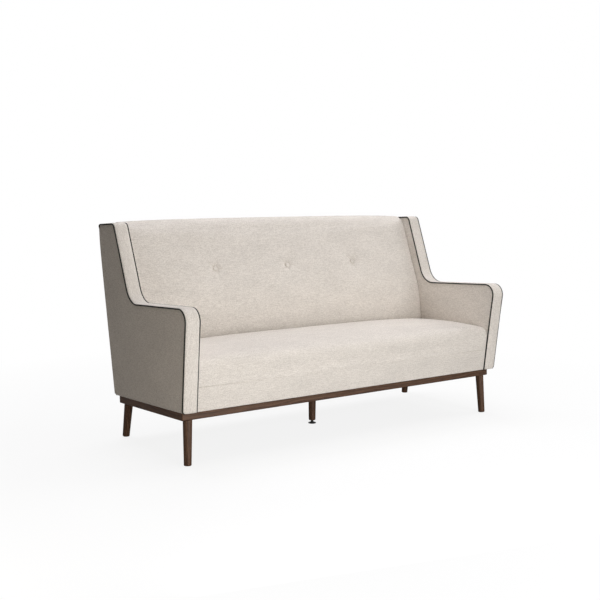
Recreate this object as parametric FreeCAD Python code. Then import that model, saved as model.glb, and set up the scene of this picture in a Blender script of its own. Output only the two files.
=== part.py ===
# Lounge sofa: a piped wing-arm sofa with a buttoned back on a splayed-leg plinth.
# Millimetres. The body is drawn level, z = 0 under its plinth, and then pitched back onto its legs.
import FreeCAD
import Part
import math
import os

Vector = FreeCAD.Vector
X_AXIS = Vector(1, 0, 0)
Y_AXIS = Vector(0, 1, 0)
Z_AXIS = Vector(0, 0, 1)
ORIGIN = Vector(0, 0, 0)

# Driving dimensions of the body, in its own level frame.
inner_width = 1552.0
arm_thickness = 62.0
arm_height = 439.0
wing_height = 772.0
arm_lean_deg = 0.85
body_pitch_deg = 3.0
underside_height = 163.5

# Side outline of an arm.
arm_front_y = -344.0
arm_front_lean_deg = 9.7
elbow_y = 73.0
wing_lean_deg = 18.8
rear_y = 268.0
rear_lean_deg = 5.85
front_corner_radius = 50.0
elbow_radius = 88.0
wing_corner_radius = 26.0
rear_corner_radius = 20.0
rear_foot_radius = 18.0

# Layers of the upholstery and the seams between them.
fabric = 2.0
cover_thickness = 3.0
boxing_padding = 8.0
piping_radius = 2.9
piping_sides = 8
piping_notch = 3.0
inner_arm_foam = 16.0
arm_panel_thickness = 22.0
outside_back_thickness = 8.0
rear_seam_drop = 26.0
soft_gap = 1.0
joint_gap = 0.3

# Plinth and legs.
plinth_height = 32.0
plinth_width = 56.0
plinth_side_inset = 12.0
plinth_front_inset = 29.0
plinth_rear_inset = 12.0
plinth_corner_radius = 6.0
plinth_edge_radius = 4.0
centre_beam_width = 64.0
leg_top_radius = 18.5
leg_foot_radius = 14.5
leg_side_splay_deg = 2.5
leg_front_splay_deg = 3.7
leg_rear_splay_deg = 7.9
leg_side_inset = 33.5
leg_front_inset = 21.0
leg_rear_inset = 23.0
leg_bolt_radius = 4.0
leg_bolt_in_leg = 36.0
leg_bolt_in_rail = 24.0
bolt_clearance = 0.1

# Centre leg and its levelling glide.
centre_leg_y = -20.5
centre_leg_foot_height = 15.0
centre_leg_top_radius = 18.0
centre_leg_foot_radius = 15.5
glide_pad_radius = 18.0
glide_pad_rim = 4.0
glide_neck_radius = 7.5
glide_neck_height = 8.8
glide_stem_radius = 4.0
glide_stem_length = 30.0
glide_hex_flats = 11.0
glide_hex_height = 3.2
glide_travel_up = 2.5

# Seat frame and seat upholstery.
dust_cover_thickness = 1.0
frame_rail_height = 95.0
frame_rail_thickness = 30.0
front_rail_y = -334.0
border_setback = 6.0
border_seam_gap = 1.5
stretcher_width = 40.0
stretcher_height = 50.0
corner_block_size = 80.0
corner_block_height = 60.0
webbing_width = 70.0
webbing_thickness = 2.5
webbing_pitch = 180.0
seat_webbing_pairs = 4
deck_thickness = 4.0
seat_side_height = 254.0
seat_crown = 16.0
seat_front_crown = 5.0
seat_top_bow = 2.0
seat_front_drop = 16.0
seat_roll_depth = 52.0
seat_roll_height = 40.0
seat_back_y = 94.0

# Back frame and back upholstery.
back_face_top_y = 240.0
back_face_top_z = 744.0
back_face_lean_deg = 18.8
back_kink_z = 316.0
back_side_bow = 5.0
back_crown = 25.0
back_seam_rise = 17.0
back_top_rise = 9.0
back_top_crown = 14.0
back_frame_top_y = 292.0
back_frame_lean_deg = 15.95
back_post_thickness = 30.0
back_rail_height = 55.0
back_lower_rail_z = 262.0
back_lower_rail_height = 50.0
back_lower_rail_thickness = 28.0
back_slat_height = 64.0
back_slat_thickness = 18.0
back_webbing_rows = 6
back_webbing_width = 50.0
back_webbing_thickness = 2.0

# Buttons pulled into the back.
button_count = 3
button_pitch = 386.0
button_z = 559.0
button_radius = 10.0
button_height = 7.0
button_rim = 2.8
tuft_depth = 10.0
tuft_radius = 70.0
tuft_lift = 3.0
tuft_rings = 3
tuft_sides = 14
twine_width = 2.0
toggle_length = 26.0
toggle_width = 8.0
toggle_thickness = 4.0

# Derived places in the body frame.
body_bottom = plinth_height + dust_cover_thickness
frame_top = body_bottom + frame_rail_height
deck_bottom = frame_top + webbing_thickness
deck_top = deck_bottom + deck_thickness
lean_slope = math.tan(math.radians(arm_lean_deg))
front_slope = math.tan(math.radians(arm_front_lean_deg))
wing_slope = math.tan(math.radians(wing_lean_deg))
rear_slope = math.tan(math.radians(rear_lean_deg))
face_slope = math.tan(math.radians(back_face_lean_deg))
frame_slope = math.tan(math.radians(back_frame_lean_deg))
half_inner = inner_width / 2
half_outer = half_inner + arm_thickness
side_rail_inset = frame_rail_thickness - inner_arm_foam - fabric
panel_start = fabric + inner_arm_foam
panel_end = panel_start + arm_panel_thickness
rear_seam_z = wing_height - rear_seam_drop
lean_drop = arm_thickness * math.sin(math.radians(arm_lean_deg))
arm_rear_inset = outside_back_thickness + joint_gap
webbing_face = back_webbing_thickness + joint_gap
cushion_gap = piping_radius + joint_gap
quarter_turn = math.sqrt(0.5)
far = 2000.0


def front_line(z):
    return arm_front_y - front_slope * (z - body_bottom)


def rear_line(z):
    return rear_y + rear_slope * (z - body_bottom)


def wing_line(z):
    return elbow_y + wing_slope * (z - arm_height)


def back_face_line(z):
    return back_face_top_y - face_slope * (back_face_top_z - z)


def back_frame_line(z):
    return back_frame_top_y - frame_slope * (back_face_top_z - z)


def inner_face(z):
    return half_inner + lean_slope * (z - body_bottom)


# Outlines: polygons of (y, z, corner radius) in the side view.
def corner_arc(before, corner, after, radius):
    here = Vector(0, corner[0], corner[1])
    back = (Vector(0, before[0], before[1]) - here).normalize()
    ahead = (Vector(0, after[0], after[1]) - here).normalize()
    half = back.getAngle(ahead) / 2
    reach = radius / math.tan(half)
    middle = (back + ahead).normalize()
    centre = here + middle * (radius / math.sin(half))
    return here + back * reach, centre - middle * radius, here + ahead * reach


def rounded_edges(points, closed=True):
    stops = []
    count = len(points)
    for i, point in enumerate(points):
        at_end = not closed and i in (0, count - 1)
        if point[2] <= 0 or at_end:
            spot = Vector(0, point[0], point[1])
            stops.append((spot, None, spot))
        else:
            stops.append(corner_arc(points[i - 1], point, points[(i + 1) % count], point[2]))
    edges = []
    for i, (start, middle, end) in enumerate(stops):
        if middle is not None:
            edges.append(Part.Arc(start, middle, end).toShape())
        if i + 1 < count or closed:
            edges.append(Part.LineSegment(end, stops[(i + 1) % count][0]).toShape())
    return edges


def outline_face(points):
    return Part.Face(Part.Wire(rounded_edges(points)))


def flat(loop):
    return Part.Face(Part.makePolygon(loop + loop[:1]))


def inset_outline(points, insets):
    # Moves each edge inwards by its own inset; the points run anticlockwise seen from +X.
    count = len(points)
    lines = []
    for i in range(count):
        a, b = points[i], points[(i + 1) % count]
        length = math.hypot(b[0] - a[0], b[1] - a[1])
        along = ((b[0] - a[0]) / length, (b[1] - a[1]) / length)
        normal = (-along[1], along[0])
        lines.append(((a[0] + normal[0] * insets[i], a[1] + normal[1] * insets[i]), along))
    moved = []
    for i in range(count):
        (p, d), (q, e) = lines[i - 1], lines[i]
        cross = d[0] * e[1] - d[1] * e[0]
        t = ((q[0] - p[0]) * e[1] - (q[1] - p[1]) * e[0]) / cross
        turn = 1 if cross > 0 else -1
        radius = points[i][2]
        if radius > 0:
            radius = max(radius - turn * max(insets[i - 1], insets[i]), piping_notch)
        moved.append((p[0] + d[0] * t, p[1] + d[1] * t, radius))
    return moved


def arm_corners():
    # Anticlockwise seen from +X: front foot, rear foot, rear top, wing top, elbow, front top.
    return [
        (front_line(body_bottom), body_bottom, 0),
        (rear_line(body_bottom), body_bottom, rear_foot_radius),
        (rear_line(wing_height), wing_height, rear_corner_radius),
        (wing_line(wing_height), wing_height, wing_corner_radius),
        (elbow_y, arm_height, elbow_radius),
        (front_line(arm_height), arm_height, front_corner_radius),
    ]


def arm_face(edge_inset, rear_inset):
    bottom = 0
    insets = [bottom, rear_inset, edge_inset, edge_inset, edge_inset, edge_inset]
    return outline_face(inset_outline(arm_corners(), insets))


def prism(points, x_start, x_end):
    face = outline_face([(p[0], p[1], p[2] if len(p) > 2 else 0) for p in points])
    face.translate(Vector(x_start, 0, 0))
    return face.extrude(Vector(x_end - x_start, 0, 0))


def slab(face, x_start, x_end):
    moved = face.copy()
    moved.translate(Vector(x_start, 0, 0))
    return moved.extrude(Vector(x_end - x_start, 0, 0))


def box(x, y, z):
    return Part.makeBox(x[1] - x[0], y[1] - y[0], z[1] - z[0], Vector(x[0], y[0], z[0]))


def between_arms(inset):
    # The room between the two leaning arms, cut back by an inset at each side.
    low, high = -far, far
    level_inset = inset / math.cos(math.radians(arm_lean_deg))
    wide, wider = inner_face(low) - level_inset, inner_face(high) - level_inset
    corners = [
        Vector(-wide, -far, low),
        Vector(wide, -far, low),
        Vector(wider, -far, high),
        Vector(-wider, -far, high),
    ]
    return flat(corners).extrude(Vector(0, 2 * far, 0))


# Arms: drawn upright with their inner face at x = 0, then leaned, set in place and mirrored.
def side_rail_room():
    return [
        (front_rail_y - soft_gap, body_bottom - soft_gap),
        (far, body_bottom - soft_gap),
        (far, deck_top + soft_gap),
        (front_rail_y - soft_gap, deck_top + soft_gap),
    ]


def back_frame_room():
    low, high = body_bottom, wing_height + boxing_padding
    gap = webbing_face + soft_gap
    return [
        (back_frame_line(low) - gap, low),
        (far, low),
        (far, high),
        (back_frame_line(high) - gap, high),
    ]


def arm_panel():
    return slab(arm_face(boxing_padding, arm_rear_inset), panel_start, panel_end)


def arm_inner_layer(edge_inset, x_start, x_end):
    layer = slab(arm_face(edge_inset, arm_rear_inset), x_start, x_end)
    layer = layer.cut(prism(side_rail_room(), -far, far))
    return layer.cut(prism(back_frame_room(), -far, far))


def arm_boxing():
    band = slab(arm_face(0, 0), piping_notch, arm_thickness - piping_notch)
    core = slab(arm_face(boxing_padding, arm_rear_inset), 0, arm_thickness)
    return band.cut(core).cut(prism(outside_back_room(), -far, far))


def outside_back_room():
    low, high = -far, rear_seam_z
    depth = outside_back_thickness + rear_foot_radius
    return [
        (rear_line(low) - depth, low),
        (rear_line(low) + far, low),
        (rear_line(high) + far, high),
        (rear_line(high) - depth, high),
    ]


def piping_section(place, heading):
    across = heading.cross(X_AXIS)
    loop = []
    for i in range(piping_sides):
        angle = 2 * math.pi * (i + 0.5) / piping_sides
        loop.append(place + (X_AXIS * math.cos(angle) + across * math.sin(angle)) * piping_radius)
    return flat(loop)


def arm_piping(x):
    corners = arm_corners()
    end = (rear_line(rear_seam_z), rear_seam_z, 0)
    route = [end] + corners[2:] + corners[:1]
    runs = []
    for edge in rounded_edges(route, closed=False):
        start, end = edge.valueAt(edge.FirstParameter), edge.valueAt(edge.LastParameter)
        heading = edge.tangentAt(edge.FirstParameter)
        section = piping_section(start, heading)
        if isinstance(edge.Curve, Part.Circle):
            axis = (start - edge.Curve.Center).cross(heading)
            turn = math.degrees(edge.Length / edge.Curve.Radius)
            runs.append(section.revolve(edge.Curve.Center, axis, turn))
        else:
            runs.append(section.extrude(end - start))
    tube = runs[0].multiFuse(runs[1:])
    tube.translate(Vector(x, 0, 0))
    return tube


def side_seat_rail():
    y_range = (front_rail_y, rear_line(body_bottom) - outside_back_thickness - soft_gap)
    return box((-side_rail_inset, panel_start), y_range, (body_bottom, frame_top))


def back_post():
    low, high = frame_top, back_post_top()
    behind = outside_back_thickness + joint_gap
    points = [
        (back_frame_line(low), low),
        (rear_line(low) - behind, low),
        (rear_line(high) - behind, high),
        (back_frame_line(high), high),
    ]
    return prism(points, panel_start - back_post_thickness, panel_start)


def back_post_top():
    return rear_seam_z


def arm_pieces():
    pieces = {
        "arm_panel": arm_panel(),
        "arm_inner_foam": arm_inner_layer(boxing_padding, fabric, panel_start),
        "arm_inner_cover": arm_inner_layer(piping_notch, 0, fabric),
        "arm_outer_foam": slab(
            arm_face(boxing_padding, arm_rear_inset), panel_end, arm_thickness - fabric
        ),
        "arm_outer_cover": slab(
            arm_face(piping_notch, piping_notch), arm_thickness - fabric, arm_thickness
        ),
        "arm_boxing": arm_boxing(),
        "arm_inner_piping": arm_piping(0),
        "arm_outer_piping": arm_piping(arm_thickness),
        "seat_side_rail": side_seat_rail(),
        "back_post": back_post(),
    }
    return {name: lean_arm(shape) for name, shape in pieces.items()}


def lean_arm(shape):
    shape = shape.copy()
    shape.rotate(Vector(0, 0, body_bottom), Y_AXIS, arm_lean_deg)
    shape.translate(Vector(half_inner, 0, 0))
    if shape.BoundBox.ZMin < body_bottom:
        shape = shape.cut(box((-far, far), (-far, far), (-far, body_bottom)))
    return shape


def mirrored(shape):
    return shape.mirror(ORIGIN, X_AXIS)


# Plinth: a mitred ring of four rails and a centre beam.
def plinth_ends():
    front = arm_front_y + plinth_front_inset
    rear = rear_y - plinth_rear_inset
    return half_outer - plinth_side_inset, front, rear


def plinth_pieces():
    side, front, rear = plinth_ends()
    ring = box((-side, side), (front, rear), (0, plinth_height))
    upright = [e for e in ring.Edges if abs(e.tangentAt(e.FirstParameter).z) > 0.9]
    ring = ring.makeFillet(plinth_corner_radius, upright)
    lower = [e for e in ring.Edges if e.BoundBox.ZMax < plinth_edge_radius / 2]
    ring = ring.makeFillet(plinth_edge_radius, lower)
    w = plinth_width
    ring = ring.cut(box((-side + w, side - w), (front + w, rear - w), (-far, far)))
    mitres = {
        "plinth_front_rail": [(-side, front), (side, front), (side - w, front + w), (-side + w, front + w)],
        "plinth_rear_rail": [(-side, rear), (side, rear), (side - w, rear - w), (-side + w, rear - w)],
        "plinth_left_rail": [(-side, front), (-side, rear), (-side + w, rear - w), (-side + w, front + w)],
        "plinth_right_rail": [(side, front), (side, rear), (side - w, rear - w), (side - w, front + w)],
    }
    pieces = {}
    for name, corners in mitres.items():
        loop = [Vector(x, y, 0) for x, y in corners]
        wedge = flat(loop).extrude(Z_AXIS * plinth_height)
        pieces[name] = ring.common(wedge)
    half_beam = centre_beam_width / 2
    pieces["plinth_centre_beam"] = box(
        (-half_beam, half_beam), (front + w, rear - w), (0, plinth_height)
    )
    return pieces


# Seat frame.
def seat_frame_pieces():
    rear_end = rear_line(body_bottom) - outside_back_thickness - soft_gap
    rear_start = rear_end - frame_rail_thickness
    front_end = front_rail_y + frame_rail_thickness
    room = between_arms(side_rail_inset)
    rail_z = (body_bottom, frame_top)
    half = stretcher_width / 2
    block_z = frame_top - corner_block_height
    blocks = []
    for x_sign in (-1, 1):
        for y_corner, y_sign in ((front_end, 1), (rear_start, -1)):
            x_corner = x_sign * (inner_face(body_bottom) - side_rail_inset)
            loop = [
                Vector(x_corner, y_corner, block_z),
                Vector(x_corner - x_sign * corner_block_size, y_corner, block_z),
                Vector(x_corner, y_corner + y_sign * corner_block_size, block_z),
            ]
            block = flat(loop).extrude(Z_AXIS * (corner_block_height - joint_gap))
            blocks.append(block.common(room))
    return {
        "seat_front_rail": box((-far, far), (front_rail_y, front_end), rail_z).common(room),
        "seat_rear_rail": box((-far, far), (rear_start, rear_end), rail_z).common(room),
        "seat_centre_stretcher": box(
            (-half, half), (front_end, rear_start), (body_bottom, body_bottom + stretcher_height)
        ),
        "seat_corner_blocks": Part.makeCompound(blocks),
        "seat_webbing": seat_webbing(rear_end),
        "seat_deck": seat_deck(rear_start),
        "front_border": front_border(),
        "dust_cover": dust_cover(),
    }


def seat_webbing(rear_end):
    half = webbing_width / 2
    bands = []
    for i in range(seat_webbing_pairs):
        for sign in (-1, 1):
            x = sign * webbing_pitch * (i + 0.5)
            bands.append(box((x - half, x + half), (front_rail_y, rear_end), (frame_top, deck_bottom)))
    return Part.makeCompound(bands)


def seat_deck(rear_start):
    room = between_arms(side_rail_inset + soft_gap)
    sheet = box((-far, far), (front_rail_y, rear_start), (deck_bottom, deck_top)).common(room)
    half = back_post_thickness / 2 + soft_gap
    notch_start = back_frame_line(frame_top) - soft_gap
    return sheet.cut(box((-half, half), (notch_start, far), (frame_top, far)))


def front_border():
    low, high = body_bottom, deck_bottom - border_seam_gap
    points = [
        (front_rail_y, low),
        (front_rail_y, high),
        (front_line(high) + border_setback, high),
        (front_line(low) + border_setback, low),
    ]
    return prism(points, -far, far).common(between_arms(soft_gap))


def dust_cover():
    side, front, rear = plinth_ends()
    edge = plinth_edge_radius
    z_range = (plinth_height, body_bottom)
    return box((-side + edge, side - edge), (front + edge, rear - edge), z_range)


# Soft forms: lofts through side sections, crowned towards the middle of the sofa.
section_shares = (-1.0, -0.94, -0.78, -0.45, 0.0, 0.45, 0.78, 0.94, 1.0)


def crown_at(share):
    return 1 - share ** 4


def tilted_section(share, gap, stops):
    # A closed section of lines and arcs in a plane that leans with the arms.
    def at(point):
        return Vector(share * (inner_face(point[1]) - gap), point[0], point[1])

    edges = []
    for i, stop in enumerate(stops):
        following = stops[(i + 1) % len(stops)][0]
        if stop[1] is None:
            edges.append(Part.LineSegment(at(stop[0]), at(following)).toShape())
        else:
            edges.append(Part.Arc(at(stop[0]), at(stop[1]), at(following)).toShape())
    return Part.Wire(edges)


def loft(section, gap):
    wires = [tilted_section(s, gap, section(crown_at(s))) for s in section_shares]
    return Part.makeLoft(wires, True, True)


def seat_section(inset, bottom):
    # Front seam, front face, rolled edge, crowned top, rear face and bottom.
    def section(crown):
        seam_y = front_line(bottom) + border_setback + inset
        top_rear = seat_side_height + seat_crown * crown - inset
        top_front = seat_side_height - seat_front_drop + seat_front_crown * crown - inset
        roll_top_y = front_line(seat_side_height) + seat_roll_depth
        roll_foot = (front_line(top_front - seat_roll_height) + border_setback / 2 + inset,
                     top_front - seat_roll_height)
        roll_middle = (roll_foot[0] + (1 - quarter_turn) * (roll_top_y - roll_foot[0]),
                       roll_foot[1] + quarter_turn * seat_roll_height)
        top_middle = ((roll_top_y + seat_back_y) / 2, top_rear + seat_top_bow)
        return [
            ((seam_y, bottom), None),
            (roll_foot, roll_middle),
            ((roll_top_y, top_front), top_middle),
            ((seat_back_y, top_rear), None),
            ((seat_back_y, bottom), None),
        ]

    return section


def seat_soft_pieces():
    seam_z = deck_bottom - border_seam_gap / 2
    outer = loft(seat_section(0.0, seam_z), soft_gap)
    filling = loft(seat_section(cover_thickness, seam_z), soft_gap)
    foam = filling.cut(box((-far, far), (-far, far), (-far, deck_top)))
    return {"seat_foam": foam, "seat_cover": outer.cut(filling)}


def back_face_stops(crown, inset):
    # Top, middle and lumbar points of the bowed front face.
    forward = back_side_bow + back_crown * crown
    middle_z = (back_face_top_z + back_kink_z) / 2
    return (
        (back_face_line(back_face_top_z) - forward / 2 + inset, back_face_top_z),
        (back_face_line(middle_z) - forward + inset, middle_z),
        (back_face_line(back_kink_z) + inset, back_kink_z),
    )


def back_section(inset, bottom):
    # Bottom, rear, top roll, face and lumbar drop, before the frame's room is cut from it.
    def section(crown):
        rise = back_top_rise + back_top_crown * crown
        top_z = wing_height + rise - inset
        seam_y = rear_line(rear_seam_z) - inset
        roll_front, face_middle, kink = back_face_stops(crown, inset)
        ridge_y = (roll_front[0] + seam_y) / 2
        return [
            ((kink[0], bottom), None),
            ((seam_y, bottom), None),
            ((seam_y, rear_seam_z + back_seam_rise), (ridge_y, top_z)),
            (roll_front, face_middle),
            (kink, None),
        ]

    return section


def back_soft_pieces():
    bottom = deck_top + soft_gap
    under_z = back_post_top() + joint_gap
    frame_room = prism([
        (back_frame_line(0) - webbing_face, 0),
        (far, 0),
        (far, under_z),
        (back_frame_line(under_z) - webbing_face, under_z),
    ], -far, far)
    outer = loft(back_section(0.0, bottom), cushion_gap).cut(frame_room)
    foam = loft(back_section(cover_thickness, bottom), cushion_gap).cut(frame_room)
    for x in button_places():
        outer = outer.cut(tuft_pit(x, 0))
        foam = foam.cut(tuft_pit(x, cover_thickness))
    cover = outer.cut(foam)
    for x in button_places():
        foam = foam.cut(twine(x, bolt_clearance))
        cover = cover.cut(twine(x, bolt_clearance))
    return {"back_foam": foam, "back_cover": cover}


def button_places():
    return [button_pitch * (i - (button_count - 1) / 2) for i in range(button_count)]


def tuft_bow(x):
    stops = back_face_stops(crown_at(x / inner_face(button_z)), 0.0)
    return Part.Circle(*[Vector(x, y, z) for y, z in stops])


def tuft_mouth(x):
    bow = tuft_bow(x)
    reach = math.sqrt(bow.Radius ** 2 - (button_z - bow.Center.z) ** 2)
    return Vector(x, bow.Center.y - reach, button_z)


def tuft_axis(x):
    return (tuft_bow(x).Center - tuft_mouth(x)).normalize()


def tuft_pit(x, depth):
    # A soft dish round a button: a flat seat that flares out over the face in short flats.
    seat = button_radius + soft_gap
    rings = [tuft_ring(tuft_radius, -tuft_radius)]
    for i in range(tuft_rings + 1):
        share = i / tuft_rings
        sink = (tuft_depth + tuft_lift) * share * share - tuft_lift
        rings.append(tuft_ring(tuft_radius + share * (seat - tuft_radius), sink))
    flats = [flat(rings[0]), flat(rings[-1])]
    for outer, inner in zip(rings, rings[1:]):
        for i in range(tuft_sides):
            flats.append(flat([outer[i - 1], outer[i], inner[i], inner[i - 1]]))
    pit = Part.Solid(Part.Shell(flats))
    return aimed(pit, tuft_mouth(x) + tuft_axis(x) * depth, tuft_axis(x))


def tuft_ring(radius, z):
    angles = [2 * math.pi * i / tuft_sides for i in range(tuft_sides)]
    return [Vector(radius * math.cos(a), radius * math.sin(a), z) for a in angles]


def ring_at(radius, z):
    return Part.Wire(Part.makeCircle(radius, Vector(0, 0, z), Z_AXIS))


def tapered_post(start, start_radius, end, end_radius):
    axis = end - start
    rings = [ring_at(start_radius, 0), ring_at(end_radius, axis.Length)]
    return aimed(Part.makeLoft(rings, True, True), start, axis)


def aimed(shape, place, direction):
    shape.Placement = FreeCAD.Placement(place, FreeCAD.Rotation(Z_AXIS, direction))
    return shape


# Back frame, buttons and outside back.
def back_frame_pieces():
    post_room = between_arms(back_post_thickness - panel_start)
    behind = outside_back_thickness + joint_gap
    top = back_post_top()
    rail_low = top - back_rail_height
    top_rail = [
        (back_frame_line(rail_low), rail_low),
        (rear_line(rail_low) - behind, rail_low),
        (rear_line(top) - behind, top),
        (back_frame_line(top), top),
    ]
    lower = framed_board(back_lower_rail_z, back_lower_rail_height, back_lower_rail_thickness)
    slat = framed_board(slat_middle_z() - back_slat_height / 2, back_slat_height, back_slat_thickness)
    half = back_post_thickness / 2
    post = [
        (back_frame_line(frame_top), frame_top),
        (rear_line(frame_top) - behind, frame_top),
        (rear_line(rail_low) - behind, rail_low),
        (back_frame_line(rail_low), rail_low),
    ]
    twine_holes = [twine(x, bolt_clearance) for x in button_places()]
    lower_rail = prism(lower, -far, far).common(post_room)
    button_slat = prism(slat, -far, far).common(post_room)
    toggle_room = [toggle(x, soft_gap) for x in button_places()]
    centre_post = prism(post, -half, half).cut([lower_rail, button_slat]).cut(toggle_room)
    return {
        "back_top_rail": prism(top_rail, -far, far).common(post_room),
        "back_lower_rail": lower_rail,
        "back_button_slat": button_slat.cut(twine_holes),
        "back_centre_post": centre_post.cut(twine_holes),
        "back_webbing": back_webbing(),
        "outside_back": outside_back(),
    }


def framed_board(low, height, thickness):
    high = low + height
    return [
        (back_frame_line(low), low),
        (back_frame_line(low) + thickness, low),
        (back_frame_line(high) + thickness, high),
        (back_frame_line(high), high),
    ]


def back_webbing():
    room = between_arms(soft_gap)
    first = back_lower_rail_z + back_lower_rail_height / 2
    last = back_post_top() - back_rail_height / 2
    step = (last - first) / (back_webbing_rows - 1)
    holes = [twine(x, bolt_clearance) for x in button_places()]
    bands = []
    for i in range(back_webbing_rows):
        low = first + step * i - back_webbing_width / 2
        high = low + back_webbing_width
        points = [
            (back_frame_line(low) - webbing_face, low),
            (back_frame_line(low) - joint_gap, low),
            (back_frame_line(high) - joint_gap, high),
            (back_frame_line(high) - webbing_face, high),
        ]
        bands.append(prism(points, -far, far).common(room).cut(holes))
    return Part.makeCompound(bands)


def outside_back():
    low, high = body_bottom, rear_seam_z - lean_drop - joint_gap
    inner = outside_back_thickness
    points = [
        (rear_line(low) - inner, low),
        (rear_line(low), low),
        (rear_line(high), high),
        (rear_line(high) - inner, high),
    ]
    edge = piping_notch - arm_thickness
    return prism(points, -far, far).common(between_arms(edge))


def slat_middle_z():
    # The height at which a button's pull meets the frame.
    mouth = tuft_mouth(0)
    direction = tuft_axis(0)
    reach = back_frame_line(mouth.z) + back_slat_thickness / 2 - mouth.y
    return mouth.z + direction.z * reach / (direction.y - frame_slope * direction.z)


def twine_reach(x):
    mouth = tuft_mouth(x)
    direction = tuft_axis(x)
    gap = back_frame_line(mouth.z) + back_slat_thickness - mouth.y
    return gap / (direction.y - frame_slope * direction.z)


def button_seat(x):
    return tuft_mouth(x) + tuft_axis(x) * tuft_depth


def twine(x, clearance=0.0):
    start = button_seat(x) if clearance == 0 else tuft_mouth(x)
    end = tuft_mouth(x) + tuft_axis(x) * (twine_reach(x) + (0 if clearance == 0 else toggle_thickness))
    half = twine_width / 2 + clearance
    strand = box((-half, half), (-half, half), (0, (end - start).Length))
    return aimed(strand, start, tuft_axis(x))


def toggle(x, clearance=0.0):
    slope = Vector(0, 1, -frame_slope).normalize()
    start = tuft_mouth(x) + tuft_axis(x) * twine_reach(x)
    half_length = toggle_length / 2 + clearance
    half_width = toggle_width / 2 + clearance
    bar = box((-half_length, half_length), (-half_width, half_width), (0, toggle_thickness + clearance))
    return aimed(bar, start, slope)


def button(x):
    # A covered button: a short rim under a dome.
    rim = button_rim
    rise = button_height - rim
    dome = (button_radius * button_radius + rise * rise) / (2 * rise)
    middle = button_radius / 2
    middle_z = rim + rise - dome + math.sqrt(dome * dome - middle * middle)
    profile = [
        Part.LineSegment(Vector(0, 0, 0), Vector(button_radius, 0, 0)).toShape(),
        Part.LineSegment(Vector(button_radius, 0, 0), Vector(button_radius, 0, rim)).toShape(),
        Part.Arc(
            Vector(button_radius, 0, rim), Vector(middle, 0, middle_z), Vector(0, 0, button_height)
        ).toShape(),
        Part.LineSegment(Vector(0, 0, button_height), Vector(0, 0, 0)).toShape(),
    ]
    solid = Part.Face(Part.Wire(profile)).revolve(ORIGIN, Z_AXIS, 360)
    return aimed(solid, button_seat(x), tuft_axis(x) * -1)


# Placing: the level body is pitched back about X and lifted to its height over the floor.
def pitched(shape):
    shape = shape.copy()
    shape.rotate(ORIGIN, X_AXIS, -body_pitch_deg)
    shape.translate(Vector(0, 0, underside_height))
    return shape


def pitched_point(x, y, z):
    turn = FreeCAD.Rotation(X_AXIS, -body_pitch_deg)
    return turn.multVec(Vector(x, y, z)) + Vector(0, 0, underside_height)


# Legs: each stands on the floor and is cut to the pitched underside of the plinth.
def leg_places():
    side, front, rear = plinth_ends()
    splay_x = math.tan(math.radians(leg_side_splay_deg))
    rows = {
        "plinth_front_rail": (front + leg_front_inset, -math.tan(math.radians(leg_front_splay_deg))),
        "plinth_rear_rail": (rear - leg_rear_inset, math.tan(math.radians(leg_rear_splay_deg))),
    }
    places = []
    for rail, (y, splay_y) in rows.items():
        for sign in (-1, 1):
            top = pitched_point(sign * (side - leg_side_inset), y, 0)
            places.append((rail, top, Vector(sign * splay_x, splay_y, -1).normalize()))
    return places


def above_underside():
    return pitched(box((-far, far), (-far, far), (0, far)))


def corner_leg(top, direction):
    length = -top.z / direction.z
    ease = leg_top_radius
    rate = (leg_top_radius - leg_foot_radius) / length
    turned = tapered_post(
        top - direction * ease, leg_top_radius + rate * ease,
        top + direction * (length + ease), leg_foot_radius - rate * ease,
    )
    floor = box((-far, far), (-far, far), (-far, 0))
    return turned.cut(floor).cut(above_underside())


def leg_bolt(top, direction, clearance=0.0):
    start = top + direction * (leg_bolt_in_leg + clearance)
    length = leg_bolt_in_leg + leg_bolt_in_rail + 2 * clearance
    return Part.makeCylinder(leg_bolt_radius + clearance, length, start, direction * -1)


def centre_leg_axis():
    # An upright axis under the middle of the plinth, on the pitched underside.
    return pitched_point(0, centre_leg_y, 0), Vector(0, 0, -1)


def centre_leg(top):
    low = centre_leg_foot_height
    ease = centre_leg_top_radius
    rate = (centre_leg_top_radius - centre_leg_foot_radius) / (top.z - low)
    turned = tapered_post(
        Vector(top.x, top.y, low), centre_leg_foot_radius,
        top + Z_AXIS * ease, centre_leg_top_radius + rate * ease,
    )
    return turned.cut(above_underside())


def glide_pieces(top):
    # A stepped pad under a threaded stem with a six-sided collar to turn it by.
    place = Vector(top.x, top.y, 0)
    rim, neck = glide_pad_rim, glide_neck_height
    disc = Part.makeCylinder(glide_pad_radius, rim, place)
    pad = disc.fuse(Part.makeCylinder(glide_neck_radius, neck, place)).removeSplitter()
    corner = glide_hex_flats / math.sqrt(3)
    ring = []
    for i in range(6):
        angle = math.radians(60 * i)
        ring.append(place + Vector(corner * math.cos(angle), corner * math.sin(angle), neck))
    collar = flat(ring).extrude(Z_AXIS * glide_hex_height)
    rod = Part.makeCylinder(glide_stem_radius, glide_stem_length, place + Z_AXIS * neck)
    return {"glide_pad": pad, "glide_stem": rod.fuse(collar).removeSplitter()}


def glide_bore(top):
    low = centre_leg_foot_height
    reach = glide_neck_height + glide_stem_length + glide_travel_up + soft_gap - low
    return Part.makeCylinder(glide_stem_radius + bolt_clearance, reach, Vector(top.x, top.y, low))


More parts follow.
